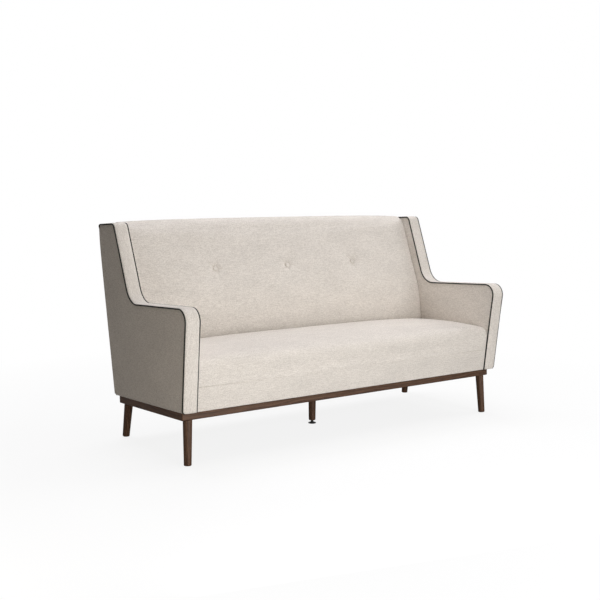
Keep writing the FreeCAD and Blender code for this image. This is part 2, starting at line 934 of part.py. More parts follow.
# Assembly.
def build_parts():
    level = {}
    for name, shape in arm_pieces().items():
        stem = "seat_{}_rail" if name == "seat_side_rail" else name + "_{}"
        level[stem.format("right")] = shape
        level[stem.format("left")] = mirrored(shape)
    level.update(plinth_pieces())
    level.update(seat_frame_pieces())
    level.update(seat_soft_pieces())
    level.update(back_soft_pieces())
    level.update(back_frame_pieces())
    level["back_buttons"] = Part.makeCompound([button(x) for x in button_places()])
    level["button_twines"] = Part.makeCompound([twine(x) for x in button_places()])
    level["button_toggles"] = Part.makeCompound([toggle(x) for x in button_places()])
    parts = {name: pitched(shape) for name, shape in level.items()}

    legs, bolts = [], []
    for holder, spot, aim in leg_places():
        hole = leg_bolt(spot, aim, bolt_clearance)
        legs.append(corner_leg(spot, aim).cut(hole))
        parts[holder] = parts[holder].cut(hole)
        bolts.append(leg_bolt(spot, aim))

    spot, aim = centre_leg_axis()
    hole = leg_bolt(spot, aim, bolt_clearance)
    legs.append(centre_leg(spot).cut([hole, glide_bore(spot)]))
    parts["plinth_centre_beam"] = parts["plinth_centre_beam"].cut(hole)
    bolts.append(leg_bolt(spot, aim))
    parts.update(glide_pieces(spot))
    parts["legs"] = Part.makeCompound(legs)
    parts["leg_bolts"] = Part.makeCompound(bolts)
    return parts


def centred(parts):
    # The origin lies on the floor under the middle of the whole sofa.
    boxes = [shape.optimalBoundingBox(False, False) for shape in parts.values()]
    middle = (min(b.YMin for b in boxes) + max(b.YMax for b in boxes)) / 2
    for shape in parts.values():
        shape.translate(Vector(0, -middle, 0))
    return parts


os.makedirs("parts", exist_ok=True)
for node, shape in centred(build_parts()).items():
    shape.exportStep("parts/" + node + ".step")
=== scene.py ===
import bpy
import bmesh
import math
import numpy as np
from mathutils import Vector, Matrix
from mathutils.geometry import delaunay_2d_cdt


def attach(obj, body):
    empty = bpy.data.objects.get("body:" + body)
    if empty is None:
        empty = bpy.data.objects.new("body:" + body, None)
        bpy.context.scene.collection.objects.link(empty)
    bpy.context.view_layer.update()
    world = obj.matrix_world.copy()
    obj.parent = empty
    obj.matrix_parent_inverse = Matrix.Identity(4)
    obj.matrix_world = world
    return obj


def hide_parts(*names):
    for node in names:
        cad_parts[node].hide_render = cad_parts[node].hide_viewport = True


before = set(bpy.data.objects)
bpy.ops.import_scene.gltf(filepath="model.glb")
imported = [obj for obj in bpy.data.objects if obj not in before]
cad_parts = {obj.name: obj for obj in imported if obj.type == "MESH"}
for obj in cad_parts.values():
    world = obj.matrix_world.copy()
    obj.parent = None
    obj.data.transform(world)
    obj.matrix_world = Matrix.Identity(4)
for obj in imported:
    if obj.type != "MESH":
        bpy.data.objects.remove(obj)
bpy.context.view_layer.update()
scene = bpy.context.scene
print("frame loaded:", len(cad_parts), "CAD nodes")

# The body is drawn level in millimetres, then pitched back and lifted onto its legs.
body = {
    "pitch": math.radians(3.0), "lift": 163.5, "shift": 1.4,
    "innerHalf": 776.0, "lean": math.radians(0.85), "bottom": 33.0,
}


def place(points):
    p = np.asarray(points, dtype=float).reshape(-1, 3)
    c = math.cos(body["pitch"])
    s = math.sin(body["pitch"])
    y = p[:, 1] * c + p[:, 2] * s + body["shift"]
    z = -p[:, 1] * s + p[:, 2] * c + body["lift"]
    return np.column_stack((p[:, 0], y, z)) / 1000.0


def unplace(points):
    p = np.asarray(points, dtype=float).reshape(-1, 3) * 1000.0
    c = math.cos(body["pitch"])
    s = math.sin(body["pitch"])
    y = p[:, 1] - body["shift"]
    z = p[:, 2] - body["lift"]
    return np.column_stack((p[:, 0], y * c - z * s, y * s + z * c))


def innerFace(z):
    return body["innerHalf"] + math.tan(body["lean"]) * (z - body["bottom"])


def smoothStep(t):
    t = np.clip(t, 0.0, 1.0)
    return t * t * (3 - 2 * t)


# Slow unevenness of stretched cloth: a few waves, each turned and longer than the one before.
waves = {"count": 4, "seedTurn": 1.7, "turn": 2.4, "first": 0.6, "growth": 0.25, "phase": 3}


def ripple(a, b, size, height, seed):
    # The same on every run.
    total = np.zeros_like(a)
    for k in range(1, waves["count"] + 1):
        turn = seed * waves["seedTurn"] + k * waves["turn"]
        length = size * (waves["first"] + waves["growth"] * k)
        slant = a * math.cos(turn) + b * math.sin(turn)
        total += np.sin(slant * 2 * math.pi / length + turn * waves["phase"])
    return total * height / waves["count"]


# Mesh helpers.
def readVerts(piece):
    co = np.empty(len(piece.data.vertices) * 3)
    piece.data.vertices.foreach_get("co", co)
    return co.reshape(-1, 3)


def writeVerts(piece, points):
    piece.data.vertices.foreach_set("co", np.asarray(points).ravel())
    piece.data.update()


def reshape(piece, change):
    # change works on level millimetre points.
    writeVerts(piece, place(change(unplace(readVerts(piece)))))


def tidyNormals(piece):
    bm = bmesh.new()
    bm.from_mesh(piece.data)
    bmesh.ops.remove_doubles(bm, verts=bm.verts, dist=1e-6)
    bmesh.ops.recalc_face_normals(bm, faces=bm.faces)
    bm.to_mesh(piece.data)
    bm.free()
    piece.data.shade_smooth()


def newPiece(name, verts, faces, edges=()):
    mesh = bpy.data.meshes.new(name)
    mesh.from_pydata([tuple(v) for v in verts], list(edges), faces)
    piece = bpy.data.objects.new(name, mesh)
    scene.collection.objects.link(piece)
    return piece


def bakeModifiers(piece):
    deps = bpy.context.evaluated_depsgraph_get()
    mesh = bpy.data.meshes.new_from_object(piece.evaluated_get(deps))
    old = piece.data
    piece.modifiers.clear()
    piece.data = mesh
    bpy.data.meshes.remove(old)


def voxelRemesh(piece, size):
    remesh = piece.modifiers.new("remesh", "REMESH")
    remesh.mode = "VOXEL"
    remesh.voxel_size = size
    bakeModifiers(piece)


def subdivide(piece):
    sub = piece.modifiers.new("soften", "SUBSURF")
    sub.levels = 1
    sub.render_levels = 1
    bakeModifiers(piece)


def gridFaces(rows, cols, wrapCols=False, start=0):
    faces = []
    for i in range(rows - 1):
        for j in range(cols if wrapCols else cols - 1):
            k = (j + 1) % cols
            faces.append((start + i * cols + j, start + i * cols + k,
                          start + (i + 1) * cols + k, start + (i + 1) * cols + j))
    return faces


def tubeFaces(rows, cols, start=0):
    # Rings joined into a closed skin with flat ends.
    faces = gridFaces(rows, cols, True, start)
    faces.append(tuple(start + j for j in range(cols)))
    faces.append(tuple(start + rows * cols - 1 - j for j in range(cols)))
    return faces


def lathe(verts, faces, foot, axis, profile, sides, side=None):
    # Turns (radius, height) pairs round an axis that starts at foot.
    if side is None:
        side = axis.orthogonal().normalized()
    up = axis.cross(side)
    faces += tubeFaces(len(profile), sides, len(verts))
    for r, h in profile:
        for k in range(sides):
            t = 2 * math.pi * k / sides
            verts.append(foot + axis * h + (side * math.cos(t) + up * math.sin(t)) * r)


def layWeave(piece, lay, seed):
    # Cloth coordinates in metres: across the cloth, along it, and a number of its own.
    across, along = lay(unplace(readVerts(piece)))
    values = np.column_stack((across, along, np.full(len(across), seed * 37.0))) / 1000.0
    attribute = piece.data.attributes.new("weaveAt", "FLOAT_VECTOR", "POINT")
    attribute.data.foreach_set("vector", values.ravel())


def settle(piece, material, bodyName, slotName, *nodes, fill=None):
    piece.data.materials.clear()
    piece.data.materials.append(material)
    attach(piece, bodyName)
    if nodes:
        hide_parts(*nodes)
    return piece


# Node helpers.
def link(tree, value, socket):
    if isinstance(value, (int, float, tuple, str)):
        socket.default_value = value
    else:
        tree.links.new(value, socket)


def add(tree, kind, inputs=(), **settings):
    # A node with its settings, then its inputs by place or by label.
    node = tree.nodes.new(kind)
    for key, value in settings.items():
        setattr(node, key, value)
    for key, value in dict(inputs).items():
        link(tree, value, node.inputs[key])
    return node


def calc(tree, op, a, b=0.0, c=0.0):
    return add(tree, "ShaderNodeMath", enumerate((a, b, c)), operation=op).outputs[0]


def mixColour(tree, factor, a, b, mode="MIX"):
    inputs = {0: factor, 6: a, 7: b}
    return add(tree, "ShaderNodeMix", inputs, data_type="RGBA", blend_type=mode).outputs[2]


def noiseAt(tree, vector, factors, detail=2.0, rough=0.5):
    stretch = add(tree, "ShaderNodeVectorMath", {0: vector, 1: factors}, operation="MULTIPLY")
    inputs = {"Vector": stretch.outputs[0], "Scale": 1.0, "Detail": detail, "Roughness": rough}
    return add(tree, "ShaderNodeTexNoise", inputs).outputs["Fac"]


def ramp(tree, value, low, high, start=0.0, end=1.0):
    inputs = {"Value": value, "From Min": low, "From Max": high, "To Min": start, "To Max": end}
    return add(tree, "ShaderNodeMapRange", inputs).outputs["Result"]


def newTree(name, treeType, inputs, outputs):
    tree = bpy.data.node_groups.new(name, treeType)
    for label, kind, value in inputs:
        socket = tree.interface.new_socket(label, in_out="INPUT", socket_type="NodeSocket" + kind)
        if value is not None:
            socket.default_value = value
    for label, kind in outputs:
        tree.interface.new_socket(label, in_out="OUTPUT", socket_type="NodeSocket" + kind)
    return tree, tree.nodes.new("NodeGroupInput"), tree.nodes.new("NodeGroupOutput")


def makeWeaveGroup():
    # Plain weave on the cloth coordinates: yarn height, slubs with grain, dark flecks, slow shade.
    tree, gin, gout = newTree(
        "plainWeave", "ShaderNodeTree", [("At", "Vector", (0.0, 0.0, 0.0)), ("Yarn", "Float", 0.0017)],
        [("Height", "Float"), ("Slub", "Float"), ("Fleck", "Float"), ("Shade", "Float")])
    at = gin.outputs["At"]
    split = add(tree, "ShaderNodeSeparateXYZ", {0: at})
    turns = calc(tree, "DIVIDE", math.pi, gin.outputs["Yarn"])
    wobble = calc(tree, "MULTIPLY", noiseAt(tree, at, (90.0, 90.0, 1.0)), 2.2)
    warp = calc(tree, "SINE", calc(tree, "MULTIPLY_ADD", split.outputs[0], turns, wobble))
    weft = calc(tree, "SINE", calc(tree, "MULTIPLY_ADD", split.outputs[1], turns, wobble))
    weftSlub = noiseAt(tree, at, (50.0, 360.0, 9.0), 2.0, 0.6)
    grain = noiseAt(tree, at, (210.0, 230.0, 5.0), 2.0, 0.6)
    given = {
        "Height": calc(tree, "MULTIPLY_ADD", calc(tree, "MULTIPLY", warp, weft), 0.5, 0.5),
        "Slub": calc(tree, "MULTIPLY_ADD", weftSlub, 0.42, calc(tree, "MULTIPLY", grain, 0.58)),
        "Fleck": noiseAt(tree, at, (240.0, 520.0, 3.0), 3.0, 0.7),
        "Shade": noiseAt(tree, at, (7.0, 16.0, 2.0), 2.0, 0.5),
    }
    for label, value in given.items():
        link(tree, value, gout.inputs[label])
    return tree


def makeGrainGroup():
    # Growth rings, fibre streaks and open pores along X.
    tree, gin, gout = newTree(
        "woodGrain", "ShaderNodeTree", [("Vector", "Vector", (0.0, 0.0, 0.0)), ("Rings", "Float", 60.0)],
        [("Ring", "Float"), ("Fibre", "Float"), ("Pores", "Float")])
    vector = gin.outputs["Vector"]
    split = add(tree, "ShaderNodeSeparateXYZ", {0: vector})
    sway = noiseAt(tree, vector, (2.6, 14.0, 14.0), 2.0, 0.5)
    level = calc(tree, "MULTIPLY_ADD", split.outputs[1], 0.7, split.outputs[2])
    band = calc(tree, "MULTIPLY_ADD", level, gin.outputs["Rings"], calc(tree, "MULTIPLY", sway, 5.0))
    given = {
        "Ring": calc(tree, "POWER", calc(tree, "FRACT", band), 1.8),
        "Fibre": noiseAt(tree, vector, (9.0, 230.0, 230.0), 4.0, 0.62),
        "Pores": noiseAt(tree, vector, (55.0, 1300.0, 1300.0), 2.0, 0.5),
    }
    for label, value in given.items():
        link(tree, value, gout.inputs[label])
    return tree


weaveGroup = makeWeaveGroup()
grainGroup = makeGrainGroup()


def newMaterial(name, **values):
    material = bpy.data.materials.new(name)
    material.use_nodes = True
    tree = material.node_tree
    shader = tree.nodes["Principled BSDF"]
    for key, value in values.items():
        shader.inputs[key.replace("_", " ")].default_value = value
    return material, tree, shader


def useGroup(tree, group, vector, **values):
    return add(tree, "ShaderNodeGroup", {0: vector, **values}, node_tree=group)


def addBump(tree, shader, height, strength, distance):
    bump = add(tree, "ShaderNodeBump", {"Strength": strength, "Distance": distance, "Height": height})
    link(tree, bump.outputs["Normal"], shader.inputs["Normal"])


# Looks: the span most noise falls in, then the spans, shares and bump depths of cloth, wood and grit.
noiseSpan = (0.3, 0.7)
clothLook = {
    "slubs": (0.39, 0.61), "fleckSpan": 0.16, "fleckShare": 0.8, "hollowShade": 0.80, "shade": (0.965, 1.035),
    "slubLift": 2.6, "bumpDepth": 0.0005, "rough": 0.93, "sheenRough": 0.55, "shine": 0.15,
}
woodLook = {
    "ringShare": -0.30, "tones": (0.12, 0.62), "pits": (0.57, 0.68), "smoother": 0.07, "rougher": 0.09,
    "bump": 0.25, "bumpDepth": 0.0003, "shine": 0.25,
}
gritLook = {"detail": 4.0, "noiseRough": 0.62, "roughSpan": 0.08, "bumpDepth": 0.0004}


def clothMaterial(name, pale, mid, dark, yarn, bump, sheen, fleckFrom):
    look = clothLook
    material, tree, shader = newMaterial(
        name, Roughness=look["rough"], Sheen_Weight=sheen, Sheen_Roughness=look["sheenRough"],
        Specular_IOR_Level=look["shine"])
    at = add(tree, "ShaderNodeAttribute", attribute_name="weaveAt")
    weave = useGroup(tree, weaveGroup, at.outputs["Vector"], Yarn=yarn)
    colour = mixColour(tree, ramp(tree, weave.outputs["Slub"], *look["slubs"]), mid, pale)
    fleckTo = fleckFrom + look["fleckSpan"]
    flecks = ramp(tree, weave.outputs["Fleck"], fleckFrom, fleckTo, 0.0, look["fleckShare"])
    colour = mixColour(tree, flecks, colour, dark)
    # Painted shade: the weave's low points between the yarns are darkened to 80 % of the colour, and with the
    # slow tone this multiplies the colour.
    hollowShade = ramp(tree, weave.outputs["Height"], 0.0, 0.5, look["hollowShade"], 1.0)
    slow = ramp(tree, weave.outputs["Shade"], *noiseSpan, *look["shade"])
    depth = calc(tree, "MULTIPLY", hollowShade, slow)
    grey = add(tree, "ShaderNodeCombineColor", enumerate((depth, depth, depth)))
    colour = mixColour(tree, 1.0, colour, grey.outputs[0], "MULTIPLY")
    link(tree, colour, shader.inputs["Base Color"])
    height = calc(tree, "MULTIPLY_ADD", weave.outputs["Slub"], look["slubLift"], weave.outputs["Height"])
    addBump(tree, shader, height, bump, look["bumpDepth"])
    return material


def woodMaterial(name, pale, dark, pore, turn, rings, rough, poreShare):
    look = woodLook
    material, tree, shader = newMaterial(name, Specular_IOR_Level=look["shine"])
    coord = add(tree, "ShaderNodeTexCoord").outputs["Object"]
    mapping = add(tree, "ShaderNodeMapping", {"Vector": coord, "Rotation": turn})
    grain = useGroup(tree, grainGroup, mapping.outputs[0], Rings=rings)
    fibre = grain.outputs["Fibre"]
    tone = calc(tree, "MULTIPLY_ADD", grain.outputs["Ring"], look["ringShare"], fibre)
    colour = mixColour(tree, ramp(tree, tone, *look["tones"]), dark, pale)
    pits = ramp(tree, grain.outputs["Pores"], *look["pits"])
    colour = mixColour(tree, calc(tree, "MULTIPLY", pits, poreShare), colour, pore)
    link(tree, colour, shader.inputs["Base Color"])
    sheen = ramp(tree, fibre, *noiseSpan, rough - look["smoother"], rough + look["rougher"])
    link(tree, sheen, shader.inputs["Roughness"])
    addBump(tree, shader, calc(tree, "SUBTRACT", fibre, pits), look["bump"], look["bumpDepth"])
    return material


def gritMaterial(name, colour, other, factors, rough, bump, **values):
    look = gritLook
    material, tree, shader = newMaterial(name, **values)
    coord = add(tree, "ShaderNodeTexCoord").outputs["Object"]
    grit = noiseAt(tree, coord, factors, look["detail"], look["noiseRough"])
    link(tree, mixColour(tree, ramp(tree, grit, *noiseSpan), colour, other), shader.inputs["Base Color"])
    sheen = ramp(tree, grit, *noiseSpan, rough - look["roughSpan"], rough + look["roughSpan"])
    link(tree, sheen, shader.inputs["Roughness"])
    addBump(tree, shader, grit, bump, look["bumpDepth"])
    return material


# Cloths: pale, middle and dark yarn, yarn width, bump, sheen and where the flecks start.
clothTones = {
    "oatmealWeave": ((0.84, 0.785, 0.72, 1), (0.655, 0.60, 0.54, 1), (0.42, 0.375, 0.325, 1),
                     0.0017, 0.5, 0.12, 0.57),
    "charcoalWelt": ((0.042, 0.043, 0.038, 1), (0.027, 0.028, 0.024, 1), (0.01, 0.01, 0.01, 1),
                     0.0009, 0.4, 0.05, 0.60),
    "elasticWebbing": ((0.13, 0.12, 0.105, 1), (0.07, 0.065, 0.06, 1), (0.03, 0.03, 0.03, 1),
                       0.0030, 0.8, 0.0, 0.60),
}
# Woods: pale and dark fibre, then pores.
walnutTones = ((0.124, 0.063, 0.034, 1), (0.045, 0.021, 0.011, 1), (0.017, 0.008, 0.005, 1))
beechTones = ((0.63, 0.45, 0.29, 1), (0.50, 0.335, 0.20, 1), (0.36, 0.22, 0.12, 1))
plyTones = ((0.70, 0.54, 0.36, 1), (0.56, 0.41, 0.25, 1), (0.38, 0.25, 0.14, 1))
turns = {"AlongX": (0.0, 0.0, 0.0), "AlongY": (0.0, 0.0, math.pi / 2), "AlongZ": (0.0, math.pi / 2, 0.0)}
oatmeal, charcoal, webCloth = [clothMaterial(name, *tones) for name, tones in clothTones.items()]
walnutX, walnutY, walnutZ = [
    woodMaterial("walnut" + axis, *walnutTones, turn, 55.0, 0.45, 0.75) for axis, turn in turns.items()]
beechX, beechY, beechZ = [
    woodMaterial("planedBeech" + axis, *beechTones, turn, 34.0, 0.62, 0.5) for axis, turn in turns.items()]
birchPly = woodMaterial("birchPly", *plyTones, turns["AlongZ"], 18.0, 0.66, 0.3)
even = (900.0, 900.0, 900.0)
brushed = (300.0, 300.0, 40.0)
# Grits: two colours, noise factors, roughness and bump.
gritTones = {
    "needledFelt": ((0.17, 0.17, 0.175, 1), (0.09, 0.09, 0.095, 1), even, 0.92, 0.7),
    "spunDustCloth": ((0.024, 0.024, 0.025, 1), (0.012, 0.012, 0.013, 1), even, 0.85, 0.5),
    "mattNylon": ((0.018, 0.018, 0.018, 1), (0.010, 0.010, 0.010, 1), even, 0.5, 0.2),
    "waxedTwine": ((0.62, 0.55, 0.44, 1), (0.47, 0.40, 0.31, 1), even, 0.75, 0.5),
    "sewingThread": ((0.70, 0.65, 0.59, 1), (0.56, 0.51, 0.45, 1), even, 0.7, 0.3),
}
metalTones = {
    "zincSteel": ((0.56, 0.56, 0.57, 1), (0.42, 0.42, 0.43, 1), brushed, 0.36, 0.1),
    "blackenedSteel": ((0.035, 0.035, 0.036, 1), (0.016, 0.016, 0.016, 1), brushed, 0.40, 0.1),
}
felt, dustCloth, nylon, twineFibre, sewing = [gritMaterial(name, *tones) for name, tones in gritTones.items()]
zinc = gritMaterial("zincSteel", *metalTones["zincSteel"], Metallic=1.0)
blackSteel = gritMaterial("blackenedSteel", *metalTones["blackenedSteel"], Metallic=0.7)
print("materials ready")


def upholster(piece, *nodes, fill):
    return settle(piece, oatmeal, "sofa", "sofa_cloth", *nodes, fill=fill)


# Geometry node trees: a round cord along a path, and small bars spaced along a path.
def named(tree, geometry, name, kind, value):
    inputs = {"Name": name, "Geometry": geometry}
    node = add(tree, "GeometryNodeStoreNamedAttribute", inputs, data_type=kind, domain="POINT")
    link(tree, value, next(s for s in node.inputs if s.name == "Value" and s.enabled))
    return node.outputs["Geometry"]


def recall(tree, name):
    node = add(tree, "GeometryNodeInputNamedAttribute", {"Name": name}, data_type="FLOAT")
    return next(s for s in node.outputs if s.name == "Attribute" and s.enabled)


def startTree(name, inputs):
    given = [("Geometry", "Geometry", None)] + inputs + [("Material", "Material", None)]
    tree, gin, gout = newTree(name, "GeometryNodeTree", given, [("Geometry", "Geometry")])
    path = add(tree, "GeometryNodeMeshToCurve", {"Mesh": gin.outputs["Geometry"]})
    return tree, gin.outputs, gout, path.outputs[0]


def endTree(tree, geometry, material, gout):
    smooth = add(tree, "GeometryNodeSetShadeSmooth", {"Geometry": geometry})
    whole = add(tree, "GeometryNodeRealizeInstances", {0: smooth.outputs[0]})
    paint = add(tree, "GeometryNodeSetMaterial", {"Geometry": whole.outputs[0], "Material": material})
    link(tree, paint.outputs[0], gout.inputs[0])
    return tree


def makeCordTree():
    tree, given, gout, path = startTree("cordOnPath", [("Radius", "Float", 0.003), ("Sides", "Int", 12)])
    run = add(tree, "GeometryNodeSplineParameter").outputs["Length"]
    ring = add(tree, "GeometryNodeCurvePrimitiveCircle",
               {"Resolution": given["Sides"], "Radius": given["Radius"]})
    rail = named(tree, path, "alongCord", "FLOAT", run)
    hoop = named(tree, ring.outputs[0], "aroundCord", "FLOAT", run)
    sweep = add(tree, "GeometryNodeCurveToMesh", {"Curve": rail, "Profile Curve": hoop, "Fill Caps": True})
    along, around = recall(tree, "alongCord"), recall(tree, "aroundCord")
    # The cord's cloth is cut on the bias.
    bias = add(tree, "ShaderNodeCombineXYZ",
               {0: calc(tree, "ADD", along, around), 1: calc(tree, "SUBTRACT", along, around)})
    skin = named(tree, sweep.outputs[0], "weaveAt", "FLOAT_VECTOR", bias.outputs[0])
    return endTree(tree, skin, given["Material"], gout)


def makeBarTree():
    tree, given, gout, path = startTree("barsOnPath", [
        ("Spacing", "Float", 0.01), ("Length", "Float", 0.004), ("Width", "Float", 0.001),
        ("Lean", "Float", 0.0), ("Seed", "Int", 1)])
    spots = add(tree, "GeometryNodeCurveToPoints", {"Curve": path, "Length": given["Spacing"]}, mode="LENGTH")
    bar = add(tree, "GeometryNodeMeshUVSphere", {"Segments": 8, "Rings": 6, "Radius": 0.5})
    vary = add(tree, "FunctionNodeRandomValue", {"Seed": given["Seed"]}, data_type="FLOAT")
    low, high = [s for s in vary.inputs if s.enabled and s.name in ("Min", "Max")]
    low.default_value = 0.82
    high.default_value = 1.12
    factor = next(s for s in vary.outputs if s.enabled)
    size = add(tree, "ShaderNodeCombineXYZ", {
        0: given["Width"], 1: given["Width"], 2: calc(tree, "MULTIPLY", given["Length"], factor)})
    copies = add(tree, "GeometryNodeInstanceOnPoints", {
        "Points": spots.outputs["Points"], "Instance": bar.outputs["Mesh"],
        "Rotation": spots.outputs["Rotation"], "Scale": size.outputs[0]})
    tilt = add(tree, "ShaderNodeCombineXYZ", {0: given["Lean"]})
    turn = add(tree, "GeometryNodeRotateInstances",
               {"Instances": copies.outputs[0], "Rotation": tilt.outputs[0]})
    return endTree(tree, turn.outputs[0], given["Material"], gout)


cordTree = makeCordTree()
barTree = makeBarTree()


def growTree(name, tree, paths, **values):
    # Runs a tree on open paths, each a list of points in metres, and keeps the plain mesh.
    verts = [p for path in paths for p in path]
    edges = []
    for count, path in enumerate(paths):
        first = len(edges) + count
        edges += [(first + k, first + k + 1) for k in range(len(path) - 1)]
    piece = newPiece(name, verts, [], edges)
    modifier = piece.modifiers.new("tree", "NODES")
    modifier.node_group = tree
    for item in tree.interface.items_tree:
        if item.in_out == "INPUT" and item.name in values:
            modifier[item.identifier] = values[item.name]
    bakeModifiers(piece)
    return piece


print("trees ready")


# Cushions: remesh, swell by cloth pressure round held points, even out and cap the movement.
swelling = {
    "voxel": 0.010, "pressure": 4.0, "stiffness": 18.0, "bending": 2.0, "cap": 0.008, "evenings": 24,
    "frames": 20, "levels": 4, "armReach": 16.0, "armFade": 12.0, "armShare": 0.75,
}
loft = {"sections": 41, "fade": 4, "crisp": math.radians(50)}


def evenOut(piece, shift, rounds):
    # Averages each point's movement with its neighbours', so no small folds stay.
    ends = np.empty(len(piece.data.edges) * 2, dtype=np.int32)
    piece.data.edges.foreach_get("vertices", ends)
    a, b = ends.reshape(-1, 2).T
    count = 1.0 + np.bincount(ends, minlength=len(shift))
    for k in range(rounds):
        total = shift.copy()
        np.add.at(total, a, shift[b])
        np.add.at(total, b, shift[a])
        shift = total / count[:, None]
    return shift


def swell(piece, held):
    voxelRemesh(piece, swelling["voxel"])
    rest = readVerts(piece)
    steps = swelling["levels"]
    weights = np.round(np.clip(held(unplace(rest)), 0, 1) * steps) / steps
    group = piece.vertex_groups.new(name="held")
    for level in [k / steps for k in range(1, steps + 1)]:
        group.add(np.nonzero(weights == level)[0].tolist(), level, "REPLACE")
    cloth = piece.modifiers.new("cloth", "CLOTH")
    setup = cloth.settings
    setup.use_pressure = True
    setup.uniform_pressure_force = swelling["pressure"]
    setup.effector_weights.gravity = 0.0
    setup.tension_stiffness = swelling["stiffness"]
    setup.compression_stiffness = swelling["stiffness"]
    setup.bending_stiffness = swelling["bending"]
    setup.vertex_group_mass = "held"
    cloth.point_cache.frame_start = 1
    cloth.point_cache.frame_end = swelling["frames"]
    for step in range(1, swelling["frames"] + 1):
        scene.frame_set(step)
    bakeModifiers(piece)
    scene.frame_set(1)
    shift = evenOut(piece, readVerts(piece) - rest, swelling["evenings"])
    length = np.linalg.norm(shift, axis=1, keepdims=True)
    shift *= np.minimum(1.0, swelling["cap"] / np.maximum(length, 1e-9))
    writeVerts(piece, rest + shift)
    piece.vertex_groups.clear()
    mean = float(np.linalg.norm(shift, axis=1).mean()) * 1000
    print(piece.name, "swelled", round(mean, 2), "mm on average")


def heldByArms(p):
    away = np.abs(p[:, 0]) - innerFace(p[:, 2])
    return smoothStep((away + swelling["armReach"]) / swelling["armFade"]) * swelling["armShare"]


def arcThrough(a, b, c, count):
    # Points of the circle through a, b and c, from a to c.
    (ax, ay), (bx, by), (cx, cy) = a, b, c
    d = 2 * (ax * (by - cy) + bx * (cy - ay) + cx * (ay - by))
    aa, bb, cc = ax * ax + ay * ay, bx * bx + by * by, cx * cx + cy * cy
    ux = (aa * (by - cy) + bb * (cy - ay) + cc * (ay - by)) / d
    uy = (aa * (cx - bx) + bb * (ax - cx) + cc * (bx - ax)) / d
    radius = math.hypot(ax - ux, ay - uy)
    first, mid, last = [math.atan2(y - uy, x - ux) for x, y in (a, b, c)]
    sweep = (last - first) % (2 * math.pi)
    if (mid - first) % (2 * math.pi) > sweep:
        sweep -= 2 * math.pi
    angles = [first + sweep * k / count for k in range(count + 1)]
    return [(ux + radius * math.cos(t), uy + radius * math.sin(t)) for t in angles]


def crossLoft(name, section, gap):
    # Sections across the sofa that lean with the arms; the crown fades towards them.
    verts = []
    shares = [math.sin(t * math.pi / 2) for t in np.linspace(-1, 1, loft["sections"])]
    for share in shares:
        ring = section(1 - share ** loft["fade"])
        verts += [(share * (innerFace(z) - gap), y, z) for y, z in ring]
    return newPiece(name, place(verts), tubeFaces(len(shares), len(ring)))


def trim(piece, cuts):
    # Cuts the piece off flat at each plane: three level points, then a level point on the side to lose.
    bm = bmesh.new()
    bm.from_mesh(piece.data)
    for cut in cuts:
        a, b, c, lost = [Vector(p) for p in place(cut)]
        out = (b - a).cross(c - a)
        out *= math.copysign(1, out.dot(lost - a))
        everything = bm.verts[:] + bm.edges[:] + bm.faces[:]
        bmesh.ops.bisect_plane(bm, geom=everything, plane_co=a, plane_no=out, clear_outer=True)
        bmesh.ops.edgeloop_fill(bm, edges=[e for e in bm.edges if e.is_boundary])
    bm.to_mesh(piece.data)
    bm.free()


def armCuts(gap):
    cuts = []
    for sign in (-1, 1):
        face = [(sign * (innerFace(z) - gap), y, z) for y, z in ((0, 0), (100, 0), (0, 100))]
        cuts.append(face + [(sign * 2000, 0, 0)])
    return cuts


def refine(piece, spots, reach):
    # Smaller faces round a few (x, z) spots of the front.
    bm = bmesh.new()
    bm.from_mesh(piece.data)
    middles = unplace([tuple(f.calc_center_median()) for f in bm.faces])
    edges = set()
    for face, (x, y, z) in zip(bm.faces, middles):
        away = min(math.hypot(x - u, z - v) for u, v in spots)
        if y < backFrame(z) - backPad["frontFrom"] and away < reach:
            edges.update(face.edges)
    bmesh.ops.subdivide_edges(bm, edges=list(edges), cuts=2, use_grid_fill=True)
    bm.to_mesh(piece.data)
    bm.free()


def cornerCut(away, rise, reach):
    # How far to push a remeshed, rounded edge back out to a square one.
    near = (away < reach) & (rise < reach)
    cut = np.minimum(np.maximum(away, 0), np.maximum(rise, 0))
    fade = 5.0
    return np.where(near, cut * smoothStep((reach - np.maximum(away, rise)) / fade), 0)


def runAlong(line):
    # How far along a line each of its points lies.
    return np.concatenate(([0], np.cumsum(np.linalg.norm(np.diff(line, axis=0), axis=1))))


def pathLength(points, ring):
    # How far along an open (y, z) line each point's nearest spot lies.
    line = np.array(ring)
    runs = np.linalg.norm(np.diff(line, axis=0), axis=1)
    starts = runAlong(line)
    best = np.full(len(points), 1e9)
    found = np.zeros(len(points))
    for k, run in enumerate(runs):
        d = line[k + 1] - line[k]
        t = np.clip(((points - line[k]) @ d) / max(run * run, 1e-9), 0, 1)
        gap = np.linalg.norm(points - (line[k] + t[:, None] * d), axis=1)
        nearer = gap < best
        best[nearer] = gap[nearer]
        found[nearer] = starts[k] + t[nearer] * run
    return found


def closeCushion(piece, cuts, line, seed):
    # Cut flat to its place, with crisp cut edges, the weave laid along the section's line.
    trim(piece, cuts)
    tidyNormals(piece)
    piece.data.set_sharp_from_angle(angle=loft["crisp"])
    layWeave(piece, lambda p: (p[:, 0], pathLength(p[:, 1:], line)), seed)


# Arm side view: corners (y, z, radius), run from the front foot round the rear to the arm's front top.
arm = {
    "thick": 62.0, "height": 439.0, "wing": 772.0, "frontY": -344.0, "frontLean": math.tan(math.radians(9.7)),
    "elbowY": 73.0, "wingLean": math.tan(math.radians(18.8)), "rearY": 268.0,
    "rearLean": math.tan(math.radians(5.85)), "rearFootRadius": 18.0, "rearTopRadius": 20.0,
    "wingRadius": 26.0, "elbowRadius": 88.0, "frontRadius": 50.0, "seamZ": 746.0, "underRadius": 13.0,
    "step": 7.0,
}


def frontLine(z):
    return arm["frontY"] - arm["frontLean"] * (z - body["bottom"])


def rearLine(z):
    return arm["rearY"] + arm["rearLean"] * (z - body["bottom"])


def wingLine(z):
    return arm["elbowY"] + arm["wingLean"] * (z - arm["height"])


